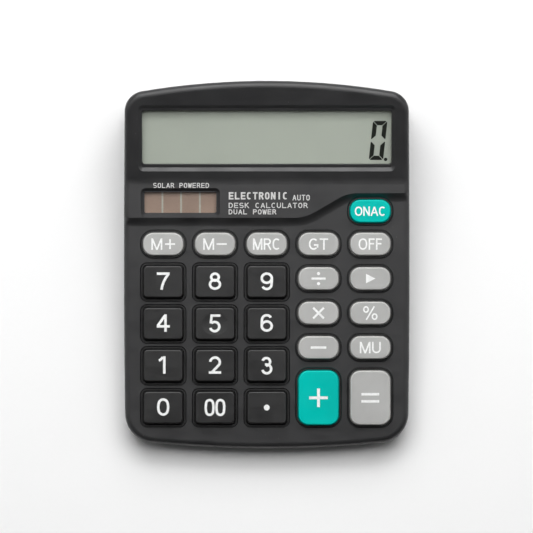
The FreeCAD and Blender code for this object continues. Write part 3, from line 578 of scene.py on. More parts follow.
def put(tree, kind, links=None, **settings):
    """Adds a node with its settings. Its inputs take plain values or other nodes' sockets."""
    node = tree.nodes.new("ShaderNode" + kind)
    for key, value in settings.items():
        setattr(node, key, value)
    for key, value in (links or {}).items():
        socket = node.inputs[key]
        if isinstance(value, bpy.types.NodeSocket):
            tree.links.new(value, socket)
        else:
            socket.default_value = value
    return node


def maths(tree, operation, a, b=0.0, clamp=False):
    return put(tree, "Math", {0: a, 1: b}, operation=operation, use_clamp=clamp).outputs[0]


def ramp(tree, value, low, high, start=0.0, end=1.0):
    """value, spread smoothly from start at low to end at high."""
    node = put(
        tree,
        "MapRange",
        {"Value": value, "From Min": low, "From Max": high, "To Min": start, "To Max": end},
        interpolation_type="SMOOTHSTEP",
    )
    return node.outputs[0]


def noise(tree, where, scale, detail):
    return put(tree, "TexNoise", {"Vector": where, "Scale": scale, "Detail": detail})


def bumps(tree, height, strength, depth):
    """The surface normal bent by height."""
    links = {"Strength": strength, "Distance": depth, "Height": height}
    return put(tree, "Bump", links).outputs[0]


def place_in_object(tree):
    return put(tree, "TexCoord").outputs["Object"]


def mix_colour(tree, factor, a, b):
    node = put(tree, "Mix", data_type="RGBA")
    for socket, value in ((node.inputs[0], factor), (node.inputs[6], a), (node.inputs[7], b)):
        if isinstance(value, bpy.types.NodeSocket):
            tree.links.new(value, socket)
        else:
            socket.default_value = value
    return node.outputs[2]


def rgba(values, gain=1.0):
    return (*[min(1.0, max(0.0, v * gain)) for v in values], 1.0)


def new_group(name, inputs, outputs):
    """An empty shader group with float inputs (name: default) and float outputs."""
    tree = bpy.data.node_groups.new(name, "ShaderNodeTree")
    for socket_name, default in inputs.items():
        socket = tree.interface.new_socket(name=socket_name, in_out="INPUT", socket_type="NodeSocketFloat")
        socket.default_value = default
    for socket_name in outputs:
        tree.interface.new_socket(name=socket_name, in_out="OUTPUT", socket_type="NodeSocketFloat")
    entry = tree.nodes.new("NodeGroupInput")
    leave = tree.nodes.new("NodeGroupOutput")
    return tree, entry, leave


def use_group(tree, name, **values):
    node = tree.nodes.new("ShaderNodeGroup")
    node.node_tree = bpy.data.node_groups[name]
    for key, value in values.items():
        node.inputs[key.replace("_", " ").capitalize()].default_value = value
    return node


def build_mould_grain():
    """Spark-eroded mould texture: fine pits, with a slow mottle over the whole piece."""
    tree, entry, leave = new_group(
        "Mould grain", {"Pit scale": 3200.0, "Mottle scale": 55.0}, ["Height", "Mottle"]
    )
    where = place_in_object(tree)
    fine = noise(tree, where, entry.outputs[0], 2.0)
    pits = put(tree, "TexVoronoi", {"Vector": where, "Scale": entry.outputs[0]}, feature="SMOOTH_F1")
    height = maths(tree, "MULTIPLY_ADD", pits.outputs["Distance"], 0.6)
    tree.links.new(fine.outputs[0], height.node.inputs[2])
    slow = noise(tree, where, entry.outputs[1], 3.0)
    tree.links.new(height, leave.inputs[0])
    tree.links.new(ramp(tree, slow.outputs[0], 0.3, 0.7), leave.inputs[1])


def build_edge_rub():
    """Mask of the rounded edges, broken up so that the line isn't even: polished by handling, and lightened
    in colour partly as handling wear and partly as a painted rim highlight.
    """
    tree, entry, leave = new_group("Edge rub and highlight", {"Radius": 0.0004, "Reach": 0.12}, ["Mask"])
    where = place_in_object(tree)
    soft = put(tree, "Bevel", {"Radius": entry.outputs[0]}, samples=4)
    hard = put(tree, "NewGeometry")
    along = put(
        tree, "VectorMath", {0: soft.outputs[0], 1: hard.outputs["Normal"]}, operation="DOT_PRODUCT"
    )
    bend = maths(tree, "SUBTRACT", 1.0, along.outputs["Value"])
    edge = put(
        tree, "MapRange", {"Value": bend, "From Min": 0.004, "From Max": entry.outputs[1]}, clamp=True
    ).outputs[0]
    broken = noise(tree, where, 420.0, 3.0)
    mask = maths(tree, "MULTIPLY", edge, ramp(tree, broken.outputs[0], 0.25, 0.6, 0.45, 1.0))
    tree.links.new(mask, leave.inputs[0])


def build_settled_dust():
    """Mask of lint specks and a thin film on faces that look up."""
    tree, entry, leave = new_group("Settled dust", {"Film": 0.03, "Specks": 0.25}, ["Mask"])
    where = place_in_object(tree)
    normal = put(tree, "NewGeometry").outputs["Normal"]
    up = ramp(tree, put(tree, "SeparateXYZ", {0: normal}).outputs[2], 0.55, 1.0)
    specks = put(tree, "TexVoronoi", {"Vector": where, "Scale": 330.0})
    dots = ramp(tree, specks.outputs["Distance"], 0.035, 0.06, 1.0, 0.0)
    patch = noise(tree, where, 70.0, 2.0).outputs[0]
    chosen = maths(tree, "MULTIPLY", dots, ramp(tree, patch, 0.52, 0.62))
    chosen = maths(tree, "MULTIPLY", chosen, entry.outputs[1])
    film = maths(tree, "MULTIPLY", patch, entry.outputs[0])
    both = maths(tree, "ADD", chosen, film, clamp=True)
    tree.links.new(maths(tree, "MULTIPLY", both, up), leave.inputs[0])


def build_finger_smudge():
    """Slow streaks where fingers and a cloth have been, for roughness."""
    tree, entry, leave = new_group("Finger smudge", {"Scale": 90.0, "Stretch": 2.5}, ["Mask"])
    where = place_in_object(tree)
    squeeze = put(tree, "CombineXYZ", {0: 1.0, 1: entry.outputs[1], 2: 1.0}).outputs[0]
    stretched = put(tree, "VectorMath", {0: where, 1: squeeze}, operation="MULTIPLY").outputs[0]
    slow = put(
        tree, "TexNoise", {"Vector": stretched, "Scale": entry.outputs[0], "Detail": 4.0, "Distortion": 0.8}
    )
    tree.links.new(ramp(tree, slow.outputs[0], 0.35, 0.7), leave.inputs[0])


def build_key_wells():
    """Mask for painted shade: the faces of the key recesses, below the deck's surface."""
    tree, entry, leave = new_group("Key wells", {"Half width": 52.5 * MM, "Front": -69.0 * MM}, ["Mask"])
    where = place_in_object(tree)
    from_deck = put(tree, "VectorMath", {0: where, 1: DECK_ORIGIN}, operation="SUBTRACT").outputs[0]
    height = put(tree, "VectorMath", {0: from_deck, 1: DECK_UP}, operation="DOT_PRODUCT").outputs["Value"]
    below = ramp(tree, height, -0.5 * MM, -0.05 * MM, 1.0, 0.0)
    parts = put(tree, "SeparateXYZ", {0: where})
    aside = maths(tree, "ABSOLUTE", parts.outputs[0])
    inside = maths(tree, "LESS_THAN", aside, entry.outputs[0])
    behind = maths(tree, "GREATER_THAN", parts.outputs[1], entry.outputs[1])
    within = maths(tree, "MULTIPLY", inside, behind)
    tree.links.new(maths(tree, "MULTIPLY", below, within), leave.inputs[0])


def build_drawn_metal():
    """Fine lines along a rolled or turned metal part."""
    inputs = {"Line scale": 5000.0, "Stretch": 0.04}
    tree, entry, leave = new_group("Drawn metal", inputs, ["Lines", "Tarnish"])
    where = place_in_object(tree)
    squeeze = put(tree, "CombineXYZ", {0: entry.outputs[1], 1: 1.0, 2: 1.0}).outputs[0]
    stretched = put(tree, "VectorMath", {0: where, 1: squeeze}, operation="MULTIPLY").outputs[0]
    lines = noise(tree, stretched, entry.outputs[0], 2.0)
    tarnish = noise(tree, where, 300.0, 4.0)
    tree.links.new(lines.outputs[0], leave.inputs[0])
    tree.links.new(ramp(tree, tarnish.outputs[0], 0.45, 0.75), leave.inputs[1])


def build_groups():
    for name in ("Mould grain", "Edge rub and highlight", "Settled dust", "Finger smudge", "Key wells", "Drawn metal"):
        if name in bpy.data.node_groups:
            bpy.data.node_groups.remove(bpy.data.node_groups[name])
    build_mould_grain()
    build_edge_rub()
    build_settled_dust()
    build_finger_smudge()
    build_key_wells()
    build_drawn_metal()


def new_material(name):
    material = bpy.data.materials.new(name)
    material.use_nodes = True
    tree = material.node_tree
    tree.nodes.clear()
    return material, tree, tree.nodes.new("ShaderNodeOutputMaterial")


def finish_material(made, inputs):
    """Wires a shader with these inputs to a new material's output."""
    material, tree, output = made
    shader = put(tree, "BsdfPrincipled", inputs)
    tree.links.new(shader.outputs[0], output.inputs[0])
    return material


def moulded_plastic(
    name, base, roughness, pit_depth, pit_scale=3200.0, rub_and_highlight_share=0.5, rub_and_highlight_gain=2.0, film=0.03, specks=0.2,
    tint=None, rub_and_highlight_radius=0.4 * MM, specular=0.5, paint_recess_shade=False,
):
    """Moulded plastic: grain, mottled colour, edges lightened partly by handling wear and partly as a
    painted rim highlight, finger smudges, a little dust and, where asked, painted shade in the key recesses.
    """
    made = new_material(name)
    tree = made[1]
    grain = use_group(tree, "Mould grain", pit_scale=pit_scale)
    edge = use_group(tree, "Edge rub and highlight", radius=rub_and_highlight_radius)
    dust = use_group(tree, "Settled dust", film=film, specks=specks)
    hand = use_group(tree, "Finger smudge")
    mottled = mix_colour(tree, grain.outputs["Mottle"], rgba(base, 0.94), rgba(base, 1.06))
    if paint_recess_shade:
        recess_shade = use_group(tree, "Key wells")
        # Painted shade: inside the key recesses the case colour drops to a quarter, where shade falls in the
        # hollows.
        mottled = mix_colour(tree, recess_shade.outputs["Mask"], mottled, rgba(base, 0.25))
    # Edges are lightened towards this colour: partly handling wear, partly a painted rim highlight.
    rub_and_highlight_colour = rgba(tint) if tint else rgba(base, rub_and_highlight_gain)
    rub_and_highlight = maths(tree, "MULTIPLY", edge.outputs["Mask"], rub_and_highlight_share)
    rubbed_and_highlit = mix_colour(tree, rub_and_highlight, mottled, rub_and_highlight_colour)
    dusty = mix_colour(tree, dust.outputs["Mask"], rubbed_and_highlit, DUST)
    rough = ramp(tree, hand.outputs["Mask"], 0.0, 1.0, roughness, roughness - SMUDGE_GLOSS)
    rough = maths(tree, "ADD", rough, maths(tree, "MULTIPLY", dust.outputs["Mask"], 0.5), clamp=True)
    rough = maths(tree, "SUBTRACT", rough, maths(tree, "MULTIPLY", rub_and_highlight, 0.12), clamp=True)
    normal = bumps(tree, grain.outputs["Height"], 0.6, pit_depth)
    return finish_material(made, {
        "Base Color": dusty,
        "Roughness": rough,
        "Normal": normal,
        "IOR": 1.5,
        "Specular IOR Level": specular,
    })


def printed_ink(name, base, roughness=0.45):
    """Screen-printed ink: thin places and pinholes in an even coat."""
    made = new_material(name)
    tree = made[1]
    where = place_in_object(tree)
    weave = noise(tree, where, 5200.0, 2.0)
    thin = noise(tree, where, 900.0, 3.0)
    coat = mix_colour(tree, ramp(tree, thin.outputs[0], 0.35, 0.62), rgba(base, 0.9), rgba(base))
    rough = ramp(tree, weave.outputs[0], 0.3, 0.7, roughness - 0.06, roughness + 0.08)
    normal = bumps(tree, weave.outputs[0], 0.3, 0.01 * MM)
    return finish_material(made, {"Base Color": coat, "Roughness": rough, "Normal": normal})


def metal(name, base, roughness, line_scale=5000.0):
    """Plated metal with drawing lines and patches of tarnish."""
    made = new_material(name)
    tree = made[1]
    drawn = use_group(tree, "Drawn metal", line_scale=line_scale)
    dull = maths(tree, "MULTIPLY", drawn.outputs["Tarnish"], 0.35)
    coloured = mix_colour(tree, dull, rgba(base), TARNISH)
    rough = ramp(tree, drawn.outputs["Lines"], 0.3, 0.7, roughness - 0.08, roughness + 0.1)
    rough = maths(tree, "ADD", rough, maths(tree, "MULTIPLY", dull, 0.5), clamp=True)
    normal = bumps(tree, drawn.outputs["Lines"], 0.4, 0.01 * MM)
    return finish_material(
        made, {"Base Color": coloured, "Roughness": rough, "Metallic": 1.0, "Normal": normal}
    )


def clear_pane(name, tint, gloss_roughness):
    """Clear moulded window: lets the light through, with gloss, faint hairlines and smudges."""
    material, tree, output = new_material(name)
    where = place_in_object(tree)
    hand = use_group(tree, "Finger smudge", scale=60.0)
    hair = noise(tree, where, 2600.0, 2.0)
    rough = ramp(tree, hand.outputs["Mask"], 0.0, 1.0, gloss_roughness, gloss_roughness + 0.1)
    normal = bumps(tree, hair.outputs[0], 0.1, 0.004 * MM)
    through = put(tree, "BsdfTransparent", {"Color": (*tint, 1.0)})
    gloss = put(tree, "BsdfGlossy", {"Roughness": rough, "Normal": normal})
    mirror = put(tree, "Fresnel", {"IOR": 1.49}).outputs[0]
    back = put(tree, "NewGeometry").outputs["Backfacing"]
    share = maths(tree, "MULTIPLY", mirror, maths(tree, "SUBTRACT", 1.0, back))
    both = put(tree, "MixShader", {0: share, 1: through.outputs[0], 2: gloss.outputs[0]})
    tree.links.new(both.outputs[0], output.inputs[0])
    return material


def display_field(name, base):
    """The display's grey-green field: an even polariser film with a trace of cloudiness."""
    made = new_material(name)
    tree = made[1]
    where = place_in_object(tree)
    cloud = noise(tree, where, 28.0, 2.0)
    sparkle = noise(tree, where, 7000.0, 1.0)
    tone = mix_colour(tree, ramp(tree, cloud.outputs[0], 0.3, 0.7), rgba(base, 0.96), rgba(base, 1.04))
    tone = mix_colour(tree, ramp(tree, sparkle.outputs[0], 0.3, 0.8, 0.0, 0.14), tone, rgba(base, 1.25))
    rough = ramp(tree, sparkle.outputs[0], 0.3, 0.7, 0.42, 0.55)
    return finish_material(made, {"Base Color": tone, "Roughness": rough})


def solar_film(name, base):
    """Amorphous solar cell: brown film with a slow sheen and fine scribed lines."""
    made = new_material(name)
    tree = made[1]
    where = place_in_object(tree)
    cloud = noise(tree, where, 60.0, 2.0)
    fine = noise(tree, where, 4000.0, 2.0)
    tone = mix_colour(tree, ramp(tree, cloud.outputs[0], 0.3, 0.7), rgba(base, 0.93), rgba(base, 1.07))
    rough = ramp(tree, fine.outputs[0], 0.3, 0.7, 0.3, 0.45)
    return finish_material(made, {"Base Color": tone, "Roughness": rough, "Coat Weight": 0.3})


def circuit_board(name):
    """Printed board: solder mask over fine tracks, with tinned pads."""
    made = new_material(name)
    tree = made[1]
    where = place_in_object(tree)
    bricks = put(
        tree,
        "TexBrick",
        {"Vector": where, "Scale": 260.0, "Mortar Size": 0.035, "Mortar Smooth": 0.2, "Brick Width": 1.9},
        offset=0.37,
    )
    cells = put(tree, "TexVoronoi", {"Vector": where, "Scale": 240.0})
    pads = ramp(tree, cells.outputs["Distance"], 0.12, 0.15, 1.0, 0.0)
    track = bricks.outputs["Fac"]
    mask = mix_colour(tree, track, (0.012, 0.075, 0.03, 1.0), (0.03, 0.16, 0.06, 1.0))
    face = mix_colour(tree, pads, mask, (0.62, 0.6, 0.55, 1.0))
    rough = ramp(tree, pads, 0.0, 1.0, 0.38, 0.28)
    relief = maths(tree, "ADD", track, pads)
    normal = bumps(tree, relief, 0.6, 0.03 * MM)
    return finish_material(
        made, {"Base Color": face, "Roughness": rough, "Metallic": pads, "Normal": normal}
    )


def cell_wrap(name):
    """The AA cell's shrink wrap: pale body, blue band and bare steel ends, along its axis."""
    made = new_material(name)
    tree = made[1]
    low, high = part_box("battery_cell")
    where = place_in_object(tree)
    along = put(tree, "SeparateXYZ", {0: where}).outputs[0]
    start, end = BLUE_BAND
    band_starts = ramp(tree, along, start, start + BAND_EDGE)
    band = maths(tree, "MULTIPLY", band_starts, ramp(tree, along, end - BAND_EDGE, end, 1.0, 0.0))
    ends = maths(
        tree,
        "MULTIPLY",
        ramp(tree, along, low.x + 0.8 * MM, low.x + 1.0 * MM),
        ramp(tree, along, high.x - 2.6 * MM, high.x - 2.4 * MM, 1.0, 0.0),
    )
    crease = noise(tree, where, 500.0, 3.0)
    paper = mix_colour(tree, band, (0.58, 0.6, 0.62, 1.0), (0.03, 0.1, 0.3, 1.0))
    face = mix_colour(tree, ends, (0.6, 0.6, 0.58, 1.0), paper)
    bare = maths(tree, "SUBTRACT", 1.0, ends)
    rough = ramp(tree, crease.outputs[0], 0.3, 0.7, 0.24, 0.36)
    normal = bumps(tree, crease.outputs[0], 0.3, 0.05 * MM)
    return finish_material(
        made, {"Base Color": face, "Roughness": rough, "Metallic": bare, "Normal": normal}
    )


def rubber(name, base, roughness=0.72):
    """Soft moulded rubber: bloom, fine flow texture and picked-up dust."""
    made = new_material(name)
    tree = made[1]
    grain = use_group(tree, "Mould grain", pit_scale=1800.0, mottle_scale=140.0)
    dust = use_group(tree, "Settled dust", film=0.08, specks=0.3)
    bloom = mix_colour(tree, grain.outputs["Mottle"], rgba(base, 0.85), rgba(base, 1.2))
    dusty = mix_colour(tree, dust.outputs["Mask"], bloom, (0.4, 0.39, 0.37, 1.0))
    rough = ramp(tree, grain.outputs["Mottle"], 0.0, 1.0, roughness - 0.08, roughness + 0.08)
    normal = bumps(tree, grain.outputs["Height"], 0.4, 0.02 * MM)
    return finish_material(made, {"Base Color": dusty, "Roughness": rough, "Normal": normal})


def give(nodes, material):
    """Puts a material on CAD nodes in place of the plain one."""
    for node in nodes:
        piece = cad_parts[node]
        for index in range(len(piece.material_slots)):
            piece.material_slots[index].material = material


# ---------------------------------------------------------------- operators


class CalculatorPiece:
    """What every operator here shares: its place in the panel and its undo step."""

    bl_options = {"REGISTER", "UNDO"}


class CALCULATOR_OT_mouldings(CalculatorPiece, bpy.types.Operator):
    """Finish the case halves, battery door and rubber feet"""

    bl_idname = "calculator.mouldings"
    bl_label = "Case Mouldings"

    def execute(self, context):
        colours = context.scene.calculator_colours
        # The front housing's finish carries painted shade in the key recesses.
        for name, paint_recess_shade, nodes in (
            ("case_abs", False, ["rear_housing", "battery_door"]),
            ("case_face_abs_recess_shade", True, ["front_housing"]),
        ):
            case = moulded_plastic(name, colours.case, 0.42, 0.014 * MM, rub_and_highlight_gain=1.9, paint_recess_shade=paint_recess_shade)
            give(nodes, case)
        give(["rubber_feet"], rubber("foot_rubber_finish", (0.018, 0.018, 0.018)))
        return {"FINISHED"}


class CALCULATOR_OT_keys(CalculatorPiece, bpy.types.Operator):
    """Finish the number keys, grey keys and teal keys"""

    bl_idname = "calculator.keys"
    bl_label = "Keys"

    def execute(self, context):
        colours = context.scene.calculator_colours
        # Every key's edges are lightened: partly handling wear, partly a painted rim highlight; the grey
        # keys go fully to a pale warm tint and the teal keys part way to a paler teal.
        black = moulded_plastic(
            "number_key_plastic", colours.number_keys, 0.42, 0.006 * MM, 4200.0, rub_and_highlight_share=0.6, rub_and_highlight_gain=2.2
        )
        glossy = {"pit_depth": 0.004 * MM, "pit_scale": 4200.0, "film": 0.0, "specks": 0.05}
        grey = moulded_plastic(
            "grey_key_plastic",
            colours.grey_keys,
            0.4,
            rub_and_highlight_share=1.0,
            tint=(0.78, 0.77, 0.72),
            rub_and_highlight_radius=0.5 * MM,
            **glossy,
        )
        teal = moulded_plastic(
            "teal_key_plastic",
            colours.teal_keys,
            0.38,
            rub_and_highlight_share=0.6,
            tint=(0.01, 0.68, 0.58),
            specular=0.1,
            **glossy,
        )
        give(NUMBER_KEYS, black)
        give(GREY_KEYS, grey)
        give(TEAL_KEYS, teal)
        return {"FINISHED"}


class CALCULATOR_OT_windows(CalculatorPiece, bpy.types.Operator):
    """Finish the display stack and the solar cell with its window"""

    bl_idname = "calculator.windows"
    bl_label = "Display and Solar Parts"

    def execute(self, context):
        colours = context.scene.calculator_colours
        give(["display_window", "solar_window"], clear_pane("clear_acrylic", (0.97, 0.975, 0.97), 0.04))
        give(["lcd_polarizer"], display_field("display_field", colours.display))
        give(["lcd_glass"], clear_pane("display_glass_finish", (0.9, 0.94, 0.92), 0.03))
        give(["lcd_reflector"], metal("reflector_film", (0.72, 0.74, 0.72), 0.4, 2500.0))
        give(["solar_cell"], solar_film("solar_film", colours.solar))
        white = moulded_plastic("frame_plastic", (0.6, 0.6, 0.58), 0.5, 0.01 * MM, rub_and_highlight_share=0.3, rub_and_highlight_gain=1.2)
        give(["display_frame"], white)
        give(["zebra_strip"], rubber("zebra_rubber", (0.2, 0.2, 0.21)))
        ribbon = moulded_plastic("ribbon_film", (0.55, 0.42, 0.2), 0.3, 0.004 * MM, rub_and_highlight_share=0.2, rub_and_highlight_gain=1.2)
        give(["display_ribbon"], ribbon)
        return {"FINISHED"}


class CALCULATOR_OT_inner_parts(CalculatorPiece, bpy.types.Operator):
    """Finish the boards, screws, leads, cell and contacts"""

    bl_idname = "calculator.inner_parts"
    bl_label = "Inner Parts"

    def execute(self, context):
        give(["main_board", "display_board"], circuit_board("board_finish"))
        give(["case_screws", "small_screws"], metal("screw_steel_finish", (0.42, 0.42, 0.44), 0.3))
        give(["battery_contact", "battery_spring"], metal("contact_plating", (0.66, 0.65, 0.62), 0.22))
        give(["capacitors"], metal("capacitor_sleeve", (0.5, 0.52, 0.56), 0.35))
        give(["chip_cover"], rubber("resin_drop", (0.012, 0.012, 0.012), 0.35))
        give(["resistors"], rubber("resistor_body", (0.03, 0.03, 0.035), 0.4))
        give(["battery_cell"], cell_wrap("cell_wrap_finish"))
        sleeves = {"positive": ("red_sleeve", (0.45, 0.02, 0.02)), "negative": ("black_sleeve", (0.02,) * 3)}
        for pole, (name, shade) in sleeves.items():
            give([f"solar_lead_{pole}", f"battery_lead_{pole}"], rubber(name, shade, 0.4))
        return {"FINISHED"}


class CALCULATOR_OT_key_legends(CalculatorPiece, bpy.types.Operator):
    """Print the number, sign or word on every key"""

    bl_idname = "calculator.key_legends"
    bl_label = "Key Legends"

    def execute(self, context):
        legends = context.scene.calculator_legends
        ink = printed_ink("legend_ink", legends.ink)
        for node, drawings in self.draw_all(legends):
            legend = print_on_key(node, drawings)
            finish_piece(legend, legend.name, ink, node)
        self.raise_finder_ring()
        return {"FINISHED"}

    def raise_finder_ring(self):
        """The thin raised ring around the middle number, found by touch."""
        ring = draw_stroke(oval((0.0, 0.35), 4.65, 4.65, 4.6), 0.24 * MM)
        ring = print_on_key("key_5", [ring])
        finish_piece(ring, "finder_ring_5", bpy.data.materials["number_key_plastic"], "key_5")

    def draw_all(self, legends):
        """Each key's name with its flat drawings."""
        height, width = legends.digit_height / MM, legends.digit_width / MM
        thick = legends.digit_stroke / MM
        for number in range(10):
            strokes = digit_strokes(str(number), height, width, thick)
            raised = [(start + Vector((0.0, 0.4, 0.0)), heading, runs) for start, heading, runs in strokes]
            yield f"key_{number}", [draw_stroke(s, thick * MM) for s in raised]
        zeros = [oval((side * 2.2, 0.2), 1.58, 3.02, 1.42) for side in (-1, 1)]
        yield "key_double_zero", [draw_stroke(s, 1.02 * MM) for s in zeros]
        yield "key_point", [draw_dot((0.0, 0.15), 1.2)]
        tall, thin = legends.word_height / MM, legends.word_stroke / MM
        # word, widths of its letters, gap between them and their height, in mm
        words = {
            "key_memory_plus": ("M+", (4.5, 4.1), 1.1, tall),
            "key_memory_minus": ("M-", (4.5, 4.2), 0.95, tall),
            "key_memory_recall": ("MRC", (3.9, 3.1, 3.3), 0.5, tall),
            "key_grand_total": ("GT", (3.9, 3.5), 0.5, tall),
            "key_off": ("OFF", (3.6, 2.5, 2.5), 0.5, tall),
            "key_mark_up": ("MU", (4.4, 3.6), 0.6, tall),
            "key_on_clear": ("ONAC", (3.1, 2.7, 3.0, 2.8), 0.36, 3.8),
        }
        for node, (word, widths, gap, high) in words.items():
            pen = thin if node != "key_on_clear" else 0.58
            strokes = word_strokes(word, widths, gap, high, pen)
            yield node, [draw_stroke(s, pen * MM) for s in strokes]
        bar = draw_stroke(line((-2.9, 0.0), (2.9, 0.0)), 0.9 * MM)
        yield "key_divide", [bar, draw_dot((0.0, 2.05), 0.66), draw_dot((0.0, -2.05), 0.66)]
        yield "key_shift_right", [draw_arrow_head(-1.75, 1.95, 3.9)]
        signs = {
            "key_multiply": (0.9, [line((-2.2, -2.2), (2.2, 2.2)), line((-2.2, 2.2), (2.2, -2.2))]),
            "key_percent": (
                0.62,
                [
                    line((-1.65, -2.75), (1.65, 2.75)),
                    oval((-1.75, 1.45), 0.92, 1.08, 0.86),
                    oval((1.75, -1.45), 0.92, 1.08, 0.86),
                ],
            ),
            "key_minus": (1.0, [line((-3.2, 0.0), (3.2, 0.0))]),
            "key_plus": (1.15, [line((-3.8, 0.0), (3.8, 0.0)), line((0.0, -3.8), (0.0, 3.8))]),
            "key_equals": (1.07, [line((-3.65, y), (3.65, y)) for y in (1.45, -1.45)]),
        }
        for node, (pen, strokes) in signs.items():
            yield node, [draw_stroke(s, pen * MM) for s in strokes]


class CALCULATOR_OT_deck_print(CalculatorPiece, bpy.types.Operator):
    """Print the small words beside and above the solar cell"""

    bl_idname = "calculator.deck_print"
    bl_label = "Deck Print"

    def execute(self, context):
        ink = printed_ink("deck_print_ink", context.scene.calculator_legends.deck_ink, 0.4)
        plane = UPPER_DECK @ Matrix.Translation((0.0, 0.0, 0.02 * MM))
        # piece, words, left edge, base line, width, letter height and pen width, in mm
        lines = (
            ("print_solar", "SOLAR POWERED", -46.6, 31.5, 23.2, 2.05, 0.3),
            ("print_kind", "ELECTRONIC", -15.8, 26.8, 24.6, 3.0, 0.62),
            ("print_auto", "AUTO", 10.4, 26.4, 7.4, 2.3, 0.36),
            ("print_use", "DESK CALCULATOR", -15.8, 23.3, 32.8, 2.15, 0.36),
            ("print_power", "DUAL POWER", -15.8, 20.7, 19.9, 2.05, 0.36),
        )
        for name, words, left, base, width, height, pen in lines:
            piece = print_words(words, plane, left, base, width, height, pen)
            finish_piece(piece, name, ink, "case")
        return {"FINISHED"}


class CALCULATOR_OT_display_characters(CalculatorPiece, bpy.types.Operator):
    """Build the dark segments that show a nought and its point"""

    bl_idname = "calculator.display_characters"
    bl_label = "Display Characters"

    def execute(self, context):
        settings = context.scene.calculator_display
        colours = context.scene.calculator_colours
        dark = printed_ink("segment_dark", colours.segments, 0.5)
        high = extent("lcd_polarizer", DISPLAY)[1]
        right, base = NOUGHT_RIGHT, NOUGHT_BASE
        wide, half = settings.digit_width, settings.digit_height / 2
        lower = self.half_nought(right - wide / 2, base + half / 2, settings, 1)
        upper = self.half_nought(right - wide / 2, base + half * 1.5, settings, -1)
        nought = join_pieces([lower, upper], "display_nought")
        lean = Matrix.Identity(4)
        lean[0][1] = math.tan(settings.slant)
        lean[0][3] = -base * math.tan(settings.slant)
        nought.data.transform(lean)
        point = draw_dot((right / MM + 0.95, base / MM + 0.35), 0.72)
        over = DISPLAY @ Matrix.Translation((0.0, 0.0, high.z + 0.004 * MM))
        for name, piece in (("display_nought", nought), ("display_point", point)):
            apply_modifier(piece, "SOLIDIFY", thickness=0.04 * MM, offset=1.0)
            put_in_place(piece, over)
            finish_piece(piece, name, dark, "case")
        return {"FINISHED"}

    def half_nought(self, x, y, settings, open_side):
        """Three mitred bars of a square ring, parted by gaps, without the bar on its open side."""
        wide, tall = settings.digit_width, settings.digit_height / 2
        ring = edit_square(1.0, (x, y, 0.0))
        bpy.ops.transform.resize(value=(wide, tall, 1.0))
        bpy.ops.mesh.inset(thickness=settings.stroke)
        bpy.ops.mesh.delete(type="FACE")
        choose("FACE", lambda f: middle(f).y * open_side > tall / 2 - settings.stroke)
        bpy.ops.mesh.delete(type="FACE")
        pick_all()
        bpy.ops.mesh.inset(thickness=settings.gap / 2, use_individual=True)
        bpy.ops.mesh.select_all(action="INVERT")
        bpy.ops.mesh.delete(type="FACE")
        rim = settings.gap
        choose("VERT", lambda v: abs(v.co.x) > wide / 2 - rim or v.co.y * -open_side > tall / 2 - rim)
        bpy.ops.mesh.bevel(offset=settings.stroke * 0.2, affect="VERTICES", segments=1)
        pick_all()
        face_up()
        write_place()
        return ring


class CALCULATOR_OT_solar_bars(CalculatorPiece, bpy.types.Operator):
    """Lay the light collector bars across the solar cell"""

    bl_idname = "calculator.solar_bars"
    bl_label = "Solar Collector Bars"

    def execute(self, context):
        low, high = extent("solar_cell", DECK)
        paste = printed_ink("collector_paste", (0.42, 0.41, 0.35), 0.5)
        pieces = []
        for share in BAR_PLACES:
            place = (low.x + (high.x - low.x) * share, (low.y + high.y) / 2, high.z + 0.02 * MM)
            bar = edit_square(1.0, place)
            bpy.ops.transform.resize(value=(0.74 * MM, high.y - low.y - 0.6 * MM, 1.0))
            bpy.ops.mesh.extrude_region_move(TRANSFORM_OT_translate={"value": (0.0, 0.0, 0.04 * MM)})
            bpy.ops.mesh.bevel(offset=0.02 * MM, segments=1)
            pick_all()
            bpy.ops.mesh.normals_make_consistent(inside=False)
            write_place()
            pieces.append(bar)
        bars = join_pieces(pieces, "solar_bars")
        put_in_place(bars, DECK)
        finish_piece(bars, "solar_bars", paste, "case")
        return {"FINISHED"}


